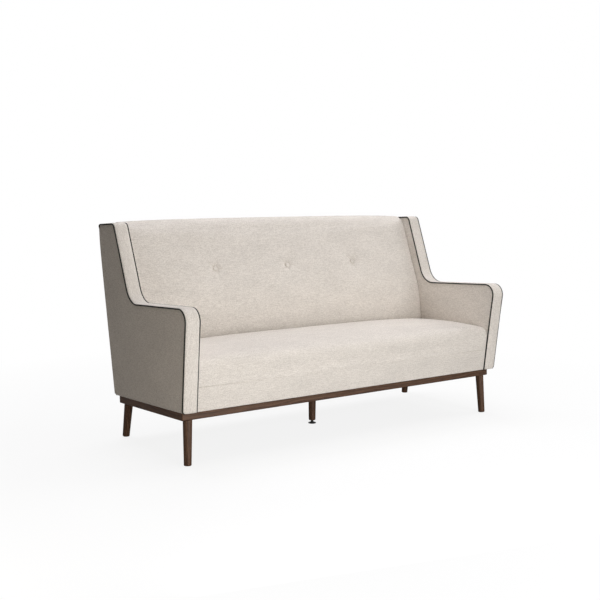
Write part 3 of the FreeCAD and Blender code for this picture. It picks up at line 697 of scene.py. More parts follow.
# Seat: one wide tight pad with a rolled front.
seatPad = {
    "seam": 129.5, "sideTop": 249.5, "crown": 16.0, "frontCrown": 5.0, "frontDrop": 12.0, "rollDepth": 52.0,
    "rollHeight": 40.0, "backY": 93.0, "backOverrun": 18.0, "topBow": 2.0, "setback": 6.0, "inset": 3.0,
    "gap": 1.6, "seamDepth": 0.4, "seamReach": 1.4, "cornerReach": 14.0, "overrun": 16.0, "sideTuck": 1.2,
    "sideReach": 4.5, "rollSteps": 10, "topSteps": 16, "seamHeld": 4.0, "seamFade": 22.0, "rearHeld": 14.0,
    "rearFade": 10.0, "edgeReach": 3.0, "tuckDrop": 60.0, "tuckFade": 50.0, "riseFade": 30.0,
    "rollFade": 40.0,
}


def seatSection(crown, inset=None):
    s = seatPad
    inset = s["inset"] if inset is None else inset
    bottom = s["seam"] + inset / 3
    topRear = s["sideTop"] + s["crown"] * crown - inset
    topFront = s["sideTop"] - s["frontDrop"] + s["frontCrown"] * crown - inset
    rollY = frontLine(s["sideTop"]) + s["rollDepth"]
    footZ = topFront - s["rollHeight"]
    foot = (frontLine(footZ) + s["setback"] / 2 + inset / 2, footZ)
    root = math.sqrt(0.5)
    rollMid = (foot[0] + (1 - root) * (rollY - foot[0]), footZ + root * s["rollHeight"])
    rear = s["backY"] + s["backOverrun"]
    topMid = ((rollY + rear) / 2, topRear + s["topBow"])
    ring = [(frontLine(bottom) + s["setback"] + inset / 8, bottom)]
    ring += arcThrough(foot, rollMid, (rollY, topFront), s["rollSteps"])
    ring += arcThrough((rollY, topFront), topMid, (rear, topRear), s["topSteps"])[1:]
    ring += [(rear, bottom)]
    return ring


def seatHeld(p):
    s = seatPad
    low = 1 - smoothStep((p[:, 2] - s["seam"] - s["seamHeld"]) / s["seamFade"])
    rear = smoothStep((p[:, 1] - s["backY"] + s["rearHeld"]) / s["rearFade"])
    return np.maximum(np.maximum(low, rear), heldByArms(p))


def sewSeatSeam(p):
    # Brings the lower front edge square onto the border seam, then sinks it a little.
    s = seatPad
    p[:, 2] = np.maximum(p[:, 2], s["seam"])
    away = p[:, 1] - frontLine(p[:, 2]) - s["setback"]
    cut = cornerCut(away, p[:, 2] - s["seam"], s["cornerReach"])
    p[:, 1:] -= cut[:, None]
    rise = p[:, 2] - s["seam"]
    near = (p[:, 1] - frontLine(p[:, 2]) - s["setback"] < s["edgeReach"]) & (rise < s["cornerReach"])
    p[:, 1] += np.where(near, s["seamDepth"] * np.exp(-rise / s["seamReach"]), 0)
    inward = np.maximum(innerFace(p[:, 2]) - s["gap"] - np.abs(p[:, 0]), 0)
    aside = s["sideTuck"] * np.exp(-inward / s["sideReach"])
    p[:, 2] -= aside * smoothStep((p[:, 2] - s["sideTop"] + s["tuckDrop"]) / s["tuckFade"])
    risen = smoothStep((p[:, 2] - s["seam"]) / s["riseFade"])
    p[:, 1] += aside * risen * smoothStep((s["rollDepth"] - away) / s["rollFade"])
    return p


def makeSeat():
    piece = crossLoft("seat_cushion", seatSection, -seatPad["overrun"])
    swell(piece, seatHeld)
    subdivide(piece)
    reshape(piece, sewSeatSeam)
    y = seatPad["backY"]
    rearCut = [(0, y, 0), (100, y, 0), (0, y, 100), (0, 2000, 0)]
    closeCushion(piece, armCuts(seatPad["gap"]) + [rearCut], seatSection(1.0, 0.0)[:-1], 1)
    return upholster(piece, "seat_cover", "seat_foam", fill=0.9)


# Back: a bowed buttoned face that rolls over the top to the rear seam.
backPad = {
    "sideZ": (266.0, 300.0, 346.0, 390.0, 422.0, 460.0, 511.0, 575.0, 626.0, 744.0),
    "sideY": (93.5, 95.5, 98.5, 103.5, 110.0, 122.0, 142.0, 165.0, 184.0, 224.0),
    "stations": 80, "soften": 9, "topZ": 744.0, "crown": 14.0, "crownZ": 520.0, "crownReach": 190.0,
    "crownStart": 230.0, "seamRise": 17.0, "topRise": 9.0, "topCrown": 14.0, "topSteps": 14, "frameY": 292.0,
    "frameLean": math.tan(math.radians(15.95)), "frameGap": 3.0, "bottom": 136.0, "inset": 3.0, "gap": 2.8,
    "overrun": 6.0, "buttonXs": (-386.0, 0.0, 386.0), "buttonZ": 559.0, "frontFrom": 25.0, "frontFade": 20.0,
    "tuftDepth": 7.5, "tuftWell": 12.5, "tuftReach": 8.0, "dimpleDepth": 7.0, "dimpleReach": 52.0,
    "dimplePower": 1.5, "refineReach": 46.0, "folds": 5, "foldTurn": 0.5, "foldPower": 3, "foldDepth": 3.0,
    "foldReach": 42.0, "foldFrom": 8.0, "foldFade": 14.0, "cornerReach": 13.0, "rearHeld": 22.0,
    "rearFade": 14.0, "lowHeld": 10.0, "lowFade": 30.0,
}


def backFrame(z):
    return backPad["frameY"] - backPad["frameLean"] * (backPad["topZ"] - z)


def softLine():
    # The side profile with its corners eased.
    b = backPad
    zs = np.linspace(b["sideZ"][0], b["sideZ"][-1], b["stations"])
    ys = np.interp(zs, b["sideZ"], b["sideY"])
    pad = b["soften"]
    low = ys[0] + (ys[0] - ys[1:pad + 1])[::-1]
    high = ys[-1] + (ys[-1] - ys[-pad - 1:-1])[::-1]
    window = np.ones(2 * pad + 1) / (2 * pad + 1)
    return zs, np.convolve(np.concatenate((low, ys, high)), window, "valid")


faceZs, sideYs = softLine()


def backFace(crown, inset):
    swellAt = np.exp(-((faceZs - backPad["crownZ"]) / backPad["crownReach"]) ** 2)
    swellAt *= smoothStep((faceZs - faceZs[0]) / backPad["crownStart"])
    return sideYs - backPad["crown"] * crown * swellAt + inset


def backSection(crown, inset=None):
    b = backPad
    inset = b["inset"] if inset is None else inset
    under = arm["seamZ"] + 1.0
    seamY = rearLine(arm["seamZ"]) - inset
    face = list(zip(backFace(crown, inset), faceZs))[::-1]
    rollFront = face[0]
    ridge = ((rollFront[0] + seamY) / 2, arm["wing"] + b["topRise"] + b["topCrown"] * crown - inset)
    ring = [(seamY, under)]
    ring += arcThrough((seamY, arm["seamZ"] + b["seamRise"]), ridge, rollFront, b["topSteps"])
    ring += face[3::3]
    ring += [(face[-1][0], b["bottom"])]
    ring += [(backFrame(z) - b["frameGap"], z) for z in (b["bottom"], under)]
    return ring


def faceY(x, z):
    # The bowed face before tufting.
    return float(np.interp(z, faceZs, backFace(1 - (x / innerFace(z)) ** loft["fade"], 0.0)))


def drawIn(p):
    # The twines pull the face in: a cup at each button, with short sideways and upward folds.
    b = backPad
    front = smoothStep((backFrame(p[:, 2]) - b["frontFrom"] - p[:, 1]) / b["frontFade"])
    sink = np.zeros(len(p))
    for x in b["buttonXs"]:
        dx = p[:, 0] - x
        dz = p[:, 2] - b["buttonZ"]
        reach = np.hypot(dx, dz)
        cup = b["tuftDepth"] * np.exp(-np.maximum(reach - b["tuftWell"], 0) / b["tuftReach"])
        cup += b["dimpleDepth"] * np.exp(-(reach / b["dimpleReach"]) ** b["dimplePower"])
        swing = np.arctan2(dz, dx)
        folds = np.maximum(np.cos(swing * b["folds"] + b["foldTurn"]), 0) ** b["foldPower"]
        fade = np.exp(-reach / b["foldReach"]) * smoothStep((reach - b["foldFrom"]) / b["foldFade"])
        sink = np.maximum(sink, cup + b["foldDepth"] * folds * fade)
    p[:, 1] += sink * front
    return p


def backHeld(p):
    b = backPad
    rear = smoothStep((p[:, 1] - backFrame(p[:, 2]) + b["rearHeld"]) / b["rearFade"])
    low = 1 - smoothStep((p[:, 2] - b["bottom"] - b["lowHeld"]) / b["lowFade"])
    return np.maximum(np.maximum(rear, low), heldByArms(p))


def sewBackSeam(p):
    # Brings the lower rear edge square onto the outside back.
    cut = cornerCut(rearLine(p[:, 2]) - p[:, 1], p[:, 2] - arm["seamZ"], backPad["cornerReach"])
    p[:, 1] += cut
    p[:, 2] -= cut
    return p


def makeBack():
    b = backPad
    piece = crossLoft("back_cushion", backSection, -b["overrun"])
    swell(piece, backHeld)
    subdivide(piece)
    reshape(piece, sewBackSeam)
    refine(piece, [(x, b["buttonZ"]) for x in b["buttonXs"]], b["refineReach"])
    reshape(piece, drawIn)
    closeCushion(piece, armCuts(b["gap"]), backSection(1.0, 0.0)[:-2], 2)
    return upholster(piece, "back_cover", "back_foam", fill=0.85)


makeSeat()
backCushion = makeBack()
print("cushions ready")


# Arms: padded side panels, a crowned boxing band and two runs of welt on each.
def armCorners():
    low, mid, top = body["bottom"], arm["height"], arm["wing"]
    return [
        (frontLine(low), low, 0.0),
        (rearLine(low), low, arm["rearFootRadius"]),
        (rearLine(top), top, arm["rearTopRadius"]),
        (wingLine(top), top, arm["wingRadius"]),
        (arm["elbowY"], mid, arm["elbowRadius"]),
        (frontLine(mid), mid, arm["frontRadius"]),
    ]


def roundedPath(corners, closed):
    # Evenly stepped points along straight runs and corner arcs.
    count = len(corners)
    runs = []
    for i, (y, z, radius) in enumerate(corners):
        here = Vector((y, z))
        if radius == 0:
            runs.append([here])
            continue
        back = (Vector(corners[i - 1][:2]) - here).normalized()
        ahead = (Vector(corners[(i + 1) % count][:2]) - here).normalized()
        half = back.angle(ahead) / 2
        centre = here + (back + ahead).normalized() * (radius / math.sin(half))
        start = here + back * (radius / math.tan(half)) - centre
        end = here + ahead * (radius / math.tan(half)) - centre
        sweep = start.angle_signed(end)
        steps = max(6, int(abs(sweep) * radius / arm["step"]) + 1)
        runs.append([centre + Matrix.Rotation(-sweep * k / steps, 2) @ start for k in range(steps + 1)])
    line = []
    for i, run in enumerate(runs):
        line.extend(run)
        if i + 1 < count or closed:
            a, b = run[-1], runs[(i + 1) % count][0]
            steps = max(1, int((b - a).length / arm["step"]))
            line.extend(a.lerp(b, k / steps) for k in range(1, steps))
    return np.array([tuple(p) for p in line])


def insetLoop(loop, amount):
    ahead = np.roll(loop, -1, axis=0) - np.roll(loop, 1, axis=0)
    ahead /= np.linalg.norm(ahead, axis=1, keepdims=True)
    return loop + np.column_stack((-ahead[:, 1], ahead[:, 0])) * amount


def edgeDistance(points, loop, closed=True):
    best = np.full(len(points), 1e9)
    ends = np.roll(loop, -1, axis=0) if closed else loop[1:]
    for p, q in zip(loop, ends):
        d = q - p
        t = np.clip(((points - p) @ d) / max(d @ d, 1e-9), 0, 1)
        best = np.minimum(best, np.linalg.norm(points - (p + t[:, None] * d), axis=1))
    return best


def insideLoop(points, loop):
    inside = np.zeros(len(points), bool)
    for p, q in zip(loop, np.roll(loop, -1, axis=0)):
        if p[1] != q[1]:
            crosses = (p[1] > points[:, 1]) != (q[1] > points[:, 1])
            edge = p[0] + (points[:, 1] - p[1]) * (q[0] - p[0]) / (q[1] - p[1])
            inside ^= crosses & (points[:, 0] < edge)
    return inside


def fillLoop(loop, rows, cell):
    # Triangles inside an outline, with close rows along its edge.
    spots = [loop]
    for inset in rows:
        ring = insetLoop(loop, inset)
        spots.append(ring[insideLoop(ring, loop) & (edgeDistance(ring, loop) > inset * 0.9)])
    low, high = loop.min(axis=0), loop.max(axis=0)
    ys, zs = np.arange(low[0], high[0], cell), np.arange(low[1], high[1], cell)
    grid = np.array([(y, z) for z in zs for y in ys])
    grid = grid[insideLoop(grid, loop)]
    spots.append(grid[edgeDistance(grid, loop) > rows[-1] + cell * 0.6])
    count = len(loop)
    edges = [(k, (k + 1) % count) for k in range(count)]
    points = [Vector(p) for p in np.concatenate(spots)]
    result = delaunay_2d_cdt(points, edges, [list(range(count))], 1, 1e-4)
    return np.array([tuple(v) for v in result[0]]), [tuple(f) for f in result[2]]


def slabFaces(faces, count):
    # Front triangles, the same ones turned round at the back, and a rim between them.
    sides = {(a, b): True for f in faces for a, b in zip(f, f[1:] + f[:1])}
    rim = [(a, b) for a, b in sides if (b, a) not in sides]
    back = [tuple(count + v for v in reversed(f)) for f in faces]
    return faces + back + [(b, a, count + a, count + b) for a, b in rim]


armPad = {
    "rows": (1.2, 2.6, 4.5, 8.0, 13.0, 20.0), "cell": 11.0, "edgeInset": 1.2, "faceIn": 0.4,
    "outerDepth": 20.0, "innerDepth": 17.0, "outerBulge": 4.0, "innerBulge": 1.4, "bulgeReach": 46.0,
    "tuck": 1.7, "tuckReach": 2.2, "freeRadius": 4.0, "freeFrom": 2.0, "freeFade": 6.0,
    "rippleSize": 170.0, "rippleHeight": 0.5, "rippleFade": 60.0, "deckZ": 135.5, "railY": -335.0,
    "frameGap": 4.0, "pipedReach": 3.0, "weltRadius": 3.0, "weltSides": 14, "weltOut": 0.3,
    "weltSink": 2.0, "weltFrontSink": 1.7, "weltFrontDrop": 45.0, "weltFrontFade": 110.0,
    "weltTail": 26.0, "weltTailSink": 6.0, "boxingCrown": 3.4, "boxingPower": 7, "boxingSink": 1.2,
    "boxingEdge": 1.6, "boxingDepth": 9.0, "boxingCells": 16,
}


def tuckUnder(p):
    # The outside of the arm rolls in under its lower edge.
    r = arm["underRadius"]
    low = np.clip(r - (p[:, 2] - body["bottom"]), 0, r)
    p[:, 0] -= (r - np.sqrt(r * r - low * low)) * np.clip(p[:, 0] / arm["thick"], 0, 1) ** 2
    return p


def standArm(p, sign):
    # From an upright arm with its inner face at x = 0 to its leaning place on the sofa.
    p = tuckUnder(np.array(p, dtype=float))
    c, s = math.cos(body["lean"]), math.sin(body["lean"])
    z = p[:, 2] - body["bottom"]
    x = p[:, 0] * c + z * s + body["innerHalf"]
    up = np.maximum(z * c - p[:, 0] * s, 0) + body["bottom"]
    return place(np.column_stack((x * sign, p[:, 1], up)))


def armPanel(name, loop, face, back, bulge, sign, seed):
    a = armPad
    outward = 1 if face > back else -1
    flat, faces = fillLoop(loop, a["rows"], a["cell"])
    d = edgeDistance(flat, loop)
    welt = np.maximum(edgeDistance(flat, weltLine()[0], False) - a["edgeInset"], 0)
    r = a["freeRadius"]
    near = np.clip(r - d, 0, r)
    free = smoothStep((welt - d - a["freeFrom"]) / a["freeFade"])
    rise = bulge * (1 - np.exp(-welt / a["bulgeReach"])) - a["tuck"] * np.exp(-welt / a["tuckReach"])
    rise -= free * (r - np.sqrt(r * r - near * near))
    slow = ripple(flat[:, 0], flat[:, 1], a["rippleSize"], a["rippleHeight"], seed)
    rise += slow * smoothStep(d / a["rippleFade"])
    front = np.column_stack((face + outward * rise, flat))
    rear = np.column_stack((np.full(len(flat), back), flat))
    piece = newPiece(name, standArm(np.vstack((front, rear)), sign), slabFaces(faces, len(flat)))
    tidyNormals(piece)
    layWeave(piece, lambda p: (p[:, 1], p[:, 2]), seed)
    return piece


def innerCorners():
    # The inside panel stops at the deck, at the front rail and at the back frame.
    low, mid, top = body["bottom"], arm["height"], arm["wing"]
    deck, gap = armPad["deckZ"], armPad["frameGap"]
    return [
        (frontLine(low), low, 0.0),
        (armPad["railY"], low, 0.0),
        (armPad["railY"], deck, 0.0),
        (backFrame(deck) - gap, deck, 0.0),
        (backFrame(top) - gap, top, 0.0),
        (wingLine(top), top, arm["wingRadius"]),
        (arm["elbowY"], mid, arm["elbowRadius"]),
        (frontLine(mid), mid, arm["frontRadius"]),
    ]


def weltLine():
    # From the rear seam over the wing and the arm to the front foot, with its outward normals.
    corners = [(rearLine(arm["seamZ"]), arm["seamZ"], 0.0)] + armCorners()[2:] + armCorners()[:1]
    line = roundedPath(corners, False)
    ahead = np.gradient(line, axis=0)
    ahead /= np.linalg.norm(ahead, axis=1, keepdims=True)
    return line, np.column_stack((ahead[:, 1], -ahead[:, 0]))


def makeBoxing(sign, hand, seed):
    a = armPad
    line, out = weltLine()
    low, high = a["boxingEdge"], arm["thick"] - a["boxingEdge"]
    cells = a["boxingCells"]
    shares = [0.5 - 0.5 * math.cos(math.pi * k / cells) for k in range(cells + 1)]
    heights = [a["boxingCrown"] * (1 - abs(2 * t - 1) ** a["boxingPower"]) - a["boxingSink"] for t in shares]
    profile = [(low + (high - low) * t, h) for t, h in zip(shares, heights)]
    profile += [(high, -a["boxingDepth"]), (low, -a["boxingDepth"])]
    verts = [(x, y + ny * h, z + nz * h) for (y, z), (ny, nz) in zip(line, out) for x, h in profile]
    cols = len(profile)
    piece = newPiece("arm_boxing_band_" + hand, standArm(verts, sign), tubeFaces(len(line), cols))
    run = np.repeat(runAlong(line), cols)
    across = np.tile([x for x, h in profile], len(line))
    layWeave(piece, lambda p: (run, across), seed)
    tidyNormals(piece)
    return upholster(piece, "arm_boxing_" + hand, fill=0.8)


def makeWelt(sign, hand, side, x):
    a = armPad
    line, out = weltLine()
    tail = smoothStep(1 - runAlong(line) / a["weltTail"])
    below = arm["height"] - a["weltFrontDrop"] - line[:, 1]
    down = smoothStep(below / a["weltFrontFade"]) * (line[:, 0] < 0)
    sink = a["weltSink"] + a["weltTailSink"] * tail + a["weltFrontSink"] * down
    centre = line - out * sink[:, None]
    inward = math.copysign(a["weltTailSink"] / 2, x - arm["thick"] / 2)
    path = standArm(np.column_stack((x - inward * tail, centre)), sign)
    piece = growTree("arm_welt_" + side + "_" + hand, cordTree, [path],
                     Radius=a["weltRadius"] / 1000, Sides=a["weltSides"], Material=charcoal)
    return settle(piece, charcoal, "sofa", "piping_cloth", "arm_" + side + "_piping_" + hand)


def makeArm(sign, hand, seed):
    a = armPad
    thick = arm["thick"]
    outer = roundedPath(armCorners(), True)
    piped = edgeDistance(outer, weltLine()[0], False) < a["pipedReach"]
    outer = insetLoop(outer, np.where(piped, a["edgeInset"], 0.0)[:, None])
    inner = insetLoop(roundedPath(innerCorners(), True), a["edgeInset"])
    sides = {
        "outer": (outer, thick - a["faceIn"], thick - a["outerDepth"], a["outerBulge"], sign, seed),
        "inner": (inner, a["faceIn"], a["innerDepth"], a["innerBulge"], sign, seed + 1),
    }
    for side, values in sides.items():
        piece = armPanel("arm_" + side + "_pad_" + hand, *values)
        upholster(piece, "arm_" + side + "_cover_" + hand, "arm_" + side + "_foam_" + hand, fill=0.8)
    makeBoxing(sign, hand, seed + 2)
    makeWelt(sign, hand, "inner", -a["weltOut"])
    makeWelt(sign, hand, "outer", thick + a["weltOut"])


makeArm(-1, "left", 3)
makeArm(1, "right", 7)
print("arms ready")


# Flat padded panels: the front border and the outside back.
flatPad = {
    "borderTop": 129.45, "borderGap": 1.2, "borderBack": -334.2, "borderBulge": 0.2, "borderTuck": 0.3,
    "rearTop": 745.6, "rearThick": 8.0, "rearEdge": 3.0, "rearBulge": 2.0, "rearTuck": 1.6,
    "borderCells": (200, 24), "rearCells": (150, 70), "rimHeight": 6.0, "rimShare": 0.008,
    "bulgeReach": 22.0, "tuckReach": 1.6, "rippleSize": 190.0, "rippleHeight": 0.45, "rippleFade": 40.0,
}


def edged(count, low, high, rim):
    # Even stations with a few close ones at both ends.
    close = [0.0, rim * 0.2, rim * 0.5, rim]
    middle = list(np.linspace(low + rim, high - rim, count))[1:-1]
    return [low + c for c in close] + middle + [high - c for c in reversed(close)]


def flatPanel(name, cells, half, low, high, faceAt, backAt, outward, bulge, tuck, seed):
    f = flatPad
    zs = edged(cells[1], low, high, f["rimHeight"])
    shares = edged(cells[0], -1.0, 1.0, f["rimShare"])
    p = np.array([(share * half(z), 0.0, z) for z in zs for share in shares])
    d = np.minimum(half(p[:, 2]) - np.abs(p[:, 0]), np.minimum(p[:, 2] - low, high - p[:, 2]))
    rise = bulge * (1 - np.exp(-d / f["bulgeReach"])) - tuck * np.exp(-d / f["tuckReach"])
    slow = ripple(p[:, 0], p[:, 2], f["rippleSize"], f["rippleHeight"], seed)
    rise += slow * smoothStep(d / f["rippleFade"])
    p[:, 1] = faceAt(p[:, 2]) + outward * rise
    rear = p.copy()
    rear[:, 1] = backAt(p[:, 2])
    faces = gridFaces(len(zs), len(shares))
    piece = newPiece(name, place(np.vstack((p, rear))), slabFaces(faces, len(p)))
    tidyNormals(piece)
    layWeave(piece, lambda q: (q[:, 0], q[:, 2]), seed)
    return piece


def backHalf(z):
    return innerFace(z) + arm["thick"] - flatPad["rearEdge"]


piece = flatPanel(
    "front_border_panel", flatPad["borderCells"], lambda z: innerFace(z) - flatPad["borderGap"],
    body["bottom"], flatPad["borderTop"], lambda z: frontLine(z) + seatPad["setback"],
    lambda z: np.full_like(z, flatPad["borderBack"]), -1, flatPad["borderBulge"], flatPad["borderTuck"], 11)
upholster(piece, "front_border", fill=0.7)
piece = flatPanel(
    "outside_back_panel", flatPad["rearCells"], backHalf, body["bottom"], flatPad["rearTop"], rearLine,
    lambda z: rearLine(z) - flatPad["rearThick"], 1, flatPad["rearBulge"], flatPad["rearTuck"], 12)
upholster(piece, "outside_back", fill=0.5)

# Hand-sewn slip stitches close the outside back to the arms and to the back's rear seam.
slipStitch = {
    "spacing": 9.0, "length": 4.4, "width": 0.9, "rows": 60, "seed": 4, "footGap": 14.0, "endGap": 6.0,
    "out": 0.4, "sink": 0.4, "rise": 0.2,
}


def stitchPaths():
    s = slipStitch
    top = flatPad["rearTop"]
    zs = np.linspace(body["bottom"] + s["footGap"], top - s["endGap"], s["rows"])
    paths = []
    for sign in (-1, 1):
        edge = backHalf(zs) + s["out"]
        paths.append(place(np.column_stack((sign * edge, rearLine(zs) - s["sink"], zs))))
    half = innerFace(top) - s["endGap"]
    xs = np.linspace(-half, half, s["rows"])
    z = np.full_like(xs, top + s["rise"])
    paths.append(place(np.column_stack((xs, rearLine(z) - s["sink"], z))))
    return paths


piece = growTree(
    "outside_back_stitches", barTree, stitchPaths(), Spacing=slipStitch["spacing"] / 1000,
    Length=slipStitch["length"] / 1000, Width=slipStitch["width"] / 1000, Seed=slipStitch["seed"],
    Material=sewing)
settle(piece, sewing, "sofa", "sofa_cloth")

# Covered buttons sit in the tufts.
button = {
    "radius": 11.0, "height": 6.5, "rim": 2.2, "rings": 9, "sides": 32, "seatRadius": 8.0, "frontFrom": 40.0,
    "slopeReach": 8.0, "foot": (0.84, -1.5), "waist": (0.97, 0.6), "dome": 0.8, "tip": 0.4,
}


def tuftSeat(x):
    # The mean depth of the face behind a button, and the way the button looks.
    p = unplace(readVerts(backCushion))
    z, reach = backPad["buttonZ"], button["slopeReach"]
    near = np.hypot(p[:, 0] - x, p[:, 2] - z) < button["seatRadius"]
    near &= p[:, 1] < backFrame(z) - button["frontFrom"]
    slope = (faceY(x, z + reach) - faceY(x, z - reach)) / (2 * reach)
    return Vector((x, float(p[near, 1].mean()), z)), Vector((0, -1, slope)).normalized()


def makeButtons():
    radius, height, rim = button["radius"], button["height"], button["rim"]
    verts, faces = [], []
    steps = np.linspace(0, math.pi / 2, button["rings"] + 1)[:-1]
    profile = [(radius * share, h) for share, h in (button["foot"], button["waist"])]
    profile += [(radius * math.cos(a) ** button["dome"], rim + (height - rim) * math.sin(a)) for a in steps]
    profile += [(button["tip"], height)]
    for x in backPad["buttonXs"]:
        seat, axis = tuftSeat(x)
        lathe(verts, faces, seat, axis, profile, button["sides"], Vector((1, 0, 0)))
    piece = newPiece("back_button_caps", place([tuple(v) for v in verts]), faces)
    tidyNormals(piece)
    layWeave(piece, lambda p: (p[:, 0], p[:, 2]), 13)
    return upholster(piece, "back_buttons", fill=1.0)


makeButtons()
print("panels and buttons ready")


# Hidden layers: webbing, felt deck, button twines and the dust cloth under the seat.
def solidsOf(node):
    # The separate solids of a CAD node, as points in metres.
    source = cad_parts[node]
    bm = bmesh.new()
    bm.from_mesh(source.data)
    bmesh.ops.remove_doubles(bm, verts=bm.verts, dist=1e-6)
    seen, found = set(), []
    for vert in bm.verts:
        if vert in seen:
            continue
        seen.add(vert)
        stack, group = [vert], []
        while stack:
            v = stack.pop()
            group.append(tuple(source.matrix_world @ v.co))
            others = [e.other_vert(v) for e in v.link_edges]
            stack += [o for o in others if o not in seen]
            seen.update(others)
        found.append(np.array(group))
    bm.free()
    return found


def ownAxes(points):
    # Middle, axes from the longest to the shortest, and half sizes of one solid.
    axes = np.linalg.svd(points - points.mean(axis=0))[2]
    along = points @ axes.T
    low, high = along.min(axis=0), along.max(axis=0)
    return (low + high) / 2 @ axes, axes, (high - low) / 2


# Each band: CAD node, cells along and across, unevenness, seed, material and slot.
bands = {
    "seat_web_bands": ("seat_webbing", (40, 8), 0.0006, 14, webCloth, "webbing"),
    "back_web_bands": ("back_webbing", (40, 8), 0.0006, 15, webCloth, "webbing"),
    "seat_felt_deck": ("seat_deck", (120, 40), 0.0008, 16, felt, "felt"),
}
selvedge = {"power": 14, "thinnest": 0.04, "waves": 70, "slant": 2}


def strips(name, node, cells, rib, seed):
    # Each band is rebuilt with rounded selvedges and a slight unevenness along its length.
    verts, faces, weave = [], [], []
    for solid in solidsOf(node):
        middle, axes, half = ownAxes(solid)
        across = [-1 + 2 * k / cells[1] for k in range(cells[1] + 1)]
        ring = [(u, 1.0) for u in across] + [(u, -1.0) for u in reversed(across)]
        faces += tubeFaces(cells[0] + 1, len(ring), len(verts))
        for k in range(cells[0] + 1):
            run = (2 * k / cells[0] - 1) * half[0]
            for u, side in ring:
                edge = math.sqrt(max(1 - abs(u) ** selvedge["power"], selvedge["thinnest"]))
                wave = rib * math.sin(run * selvedge["waves"] + u * selvedge["slant"] + len(faces))
                offset = axes[1] * (u * (half[1] - abs(wave))) + axes[2] * (side * edge * half[2])
                verts.append(middle + axes[0] * run + offset)
                weave.append((u * half[1] * 1000, run * 1000))
    piece = newPiece(name, verts, faces)
    weave = np.array(weave)
    layWeave(piece, lambda p: (weave[:, 0], weave[:, 1]), seed)
    tidyNormals(piece)
    return piece


for name, (node, cells, rib, seed, material, slotName) in bands.items():
    piece = settle(strips(name, node, cells, rib, seed), material, "sofa", slotName, node)
half = ownAxes(solidsOf("seat_deck")[0])[2]

# Two-ply twine behind each button.
twine = {"turn": 5.2, "steps": 12, "sides": 8}


def twinePaths():
    paths = []
    radius = 0.0
    for solid in solidsOf("button_twines"):
        middle, axes, half = ownAxes(solid)
        radius = float(half[1])
        count = int(2 * half[0] / radius / twine["turn"] * twine["steps"])
        for phase in (0.0, math.pi):
            t = np.arange(count + 1)
            swing = t * 2 * math.pi / twine["steps"] + phase
            run = (t / count * 2 - 1) * half[0]
            core = middle + np.outer(run, axes[0])
            paths.append(core + np.outer(np.cos(swing) * radius / 2, axes[1])
                         + np.outer(np.sin(swing) * radius / 2, axes[2]))
    return paths, radius


paths, radius = twinePaths()
piece = growTree("button_twine_plies", cordTree, paths,
                 Radius=radius / 2, Sides=twine["sides"], Material=twineFibre)
settle(piece, twineFibre, "sofa", "twine", "button_twines")

dust = {
    "halfX": 822.0, "frontY": -311.0, "rearY": 252.0, "low": 32.15, "thick": 0.6, "rail": 56.0, "beam": 40.0,
    "sag": 4.0, "cells": (150, 56), "wave": 0.15, "waveX": 31.0, "waveY": 47.0,
}


def makeDustCloth():
    # Stapled all round and along the centre beam, it hangs a little in the two bays.
    d = dust
    xs = np.linspace(-d["halfX"], d["halfX"], d["cells"][0])
    ys = np.linspace(d["frontY"], d["rearY"], d["cells"][1])
    p = np.array([(x, y, d["low"]) for y in ys for x in xs])
    bayLow, bayHigh = d["beam"], d["halfX"] - d["rail"]
    bay = (np.abs(p[:, 0]) - (bayLow + bayHigh) / 2) / ((bayHigh - bayLow) / 2)
    middleY, halfY = (d["frontY"] + d["rearY"]) / 2, (d["rearY"] - d["frontY"]) / 2
    deep = (p[:, 1] - middleY) / (halfY - d["rail"])
    drop = d["sag"] * np.clip(1 - bay ** 2, 0, 1) * np.clip(1 - deep ** 2, 0, 1)
    p[:, 2] -= drop * (1 + d["wave"] * np.sin(p[:, 0] / d["waveX"] + p[:, 1] / d["waveY"]))
    top = p.copy()
    top[:, 2] += d["thick"]
    faces = slabFaces(gridFaces(len(ys), len(xs)), len(p))
    piece = newPiece("dust_cloth", place(np.vstack((p, top))), faces)
    tidyNormals(piece)
    settle(piece, dustCloth, "sofa", "dust_cloth", "dust_cover")


makeDustCloth()
print("hidden layers ready")


# Legs: turned tapers with eased feet, cut to the pitched underside of the plinth.
leg = {
    "foot": 15.2, "top": 18.7, "ease": 3.6, "sides": 48, "sideSplay": math.tan(math.radians(2.5)),
    "frontSplay": -math.tan(math.radians(3.7)), "rearSplay": math.tan(math.radians(7.9)),
    "front": (800.296, -303.715), "rear": (799.089, 255.052), "middleY": -19.043, "middleFoot": (15.5, 15.0),
    "middleTop": 18.0, "overrun": 8.0, "easeSteps": 6, "taperSteps": 14, "guess": 170.0,
}


def legProfile(foot, top, length):
    ease, count = leg["ease"], leg["taperSteps"]
    turns = [math.pi / 2 * k / leg["easeSteps"] for k in range(leg["easeSteps"] + 1)]
    rim = [(foot - ease * (1 - math.sin(a)), ease * (1 - math.cos(a))) for a in turns]
    taper = [k / count for k in range(1, count + 1)]
    return rim + [(foot + (top - foot) * t, ease + (length - ease) * t) for t in taper]


def underside(y):
    # Height of the plinth's pitched underside above the floor.
    level = (y - body["shift"]) / math.cos(body["pitch"])
    return body["lift"] - level * math.sin(body["pitch"])


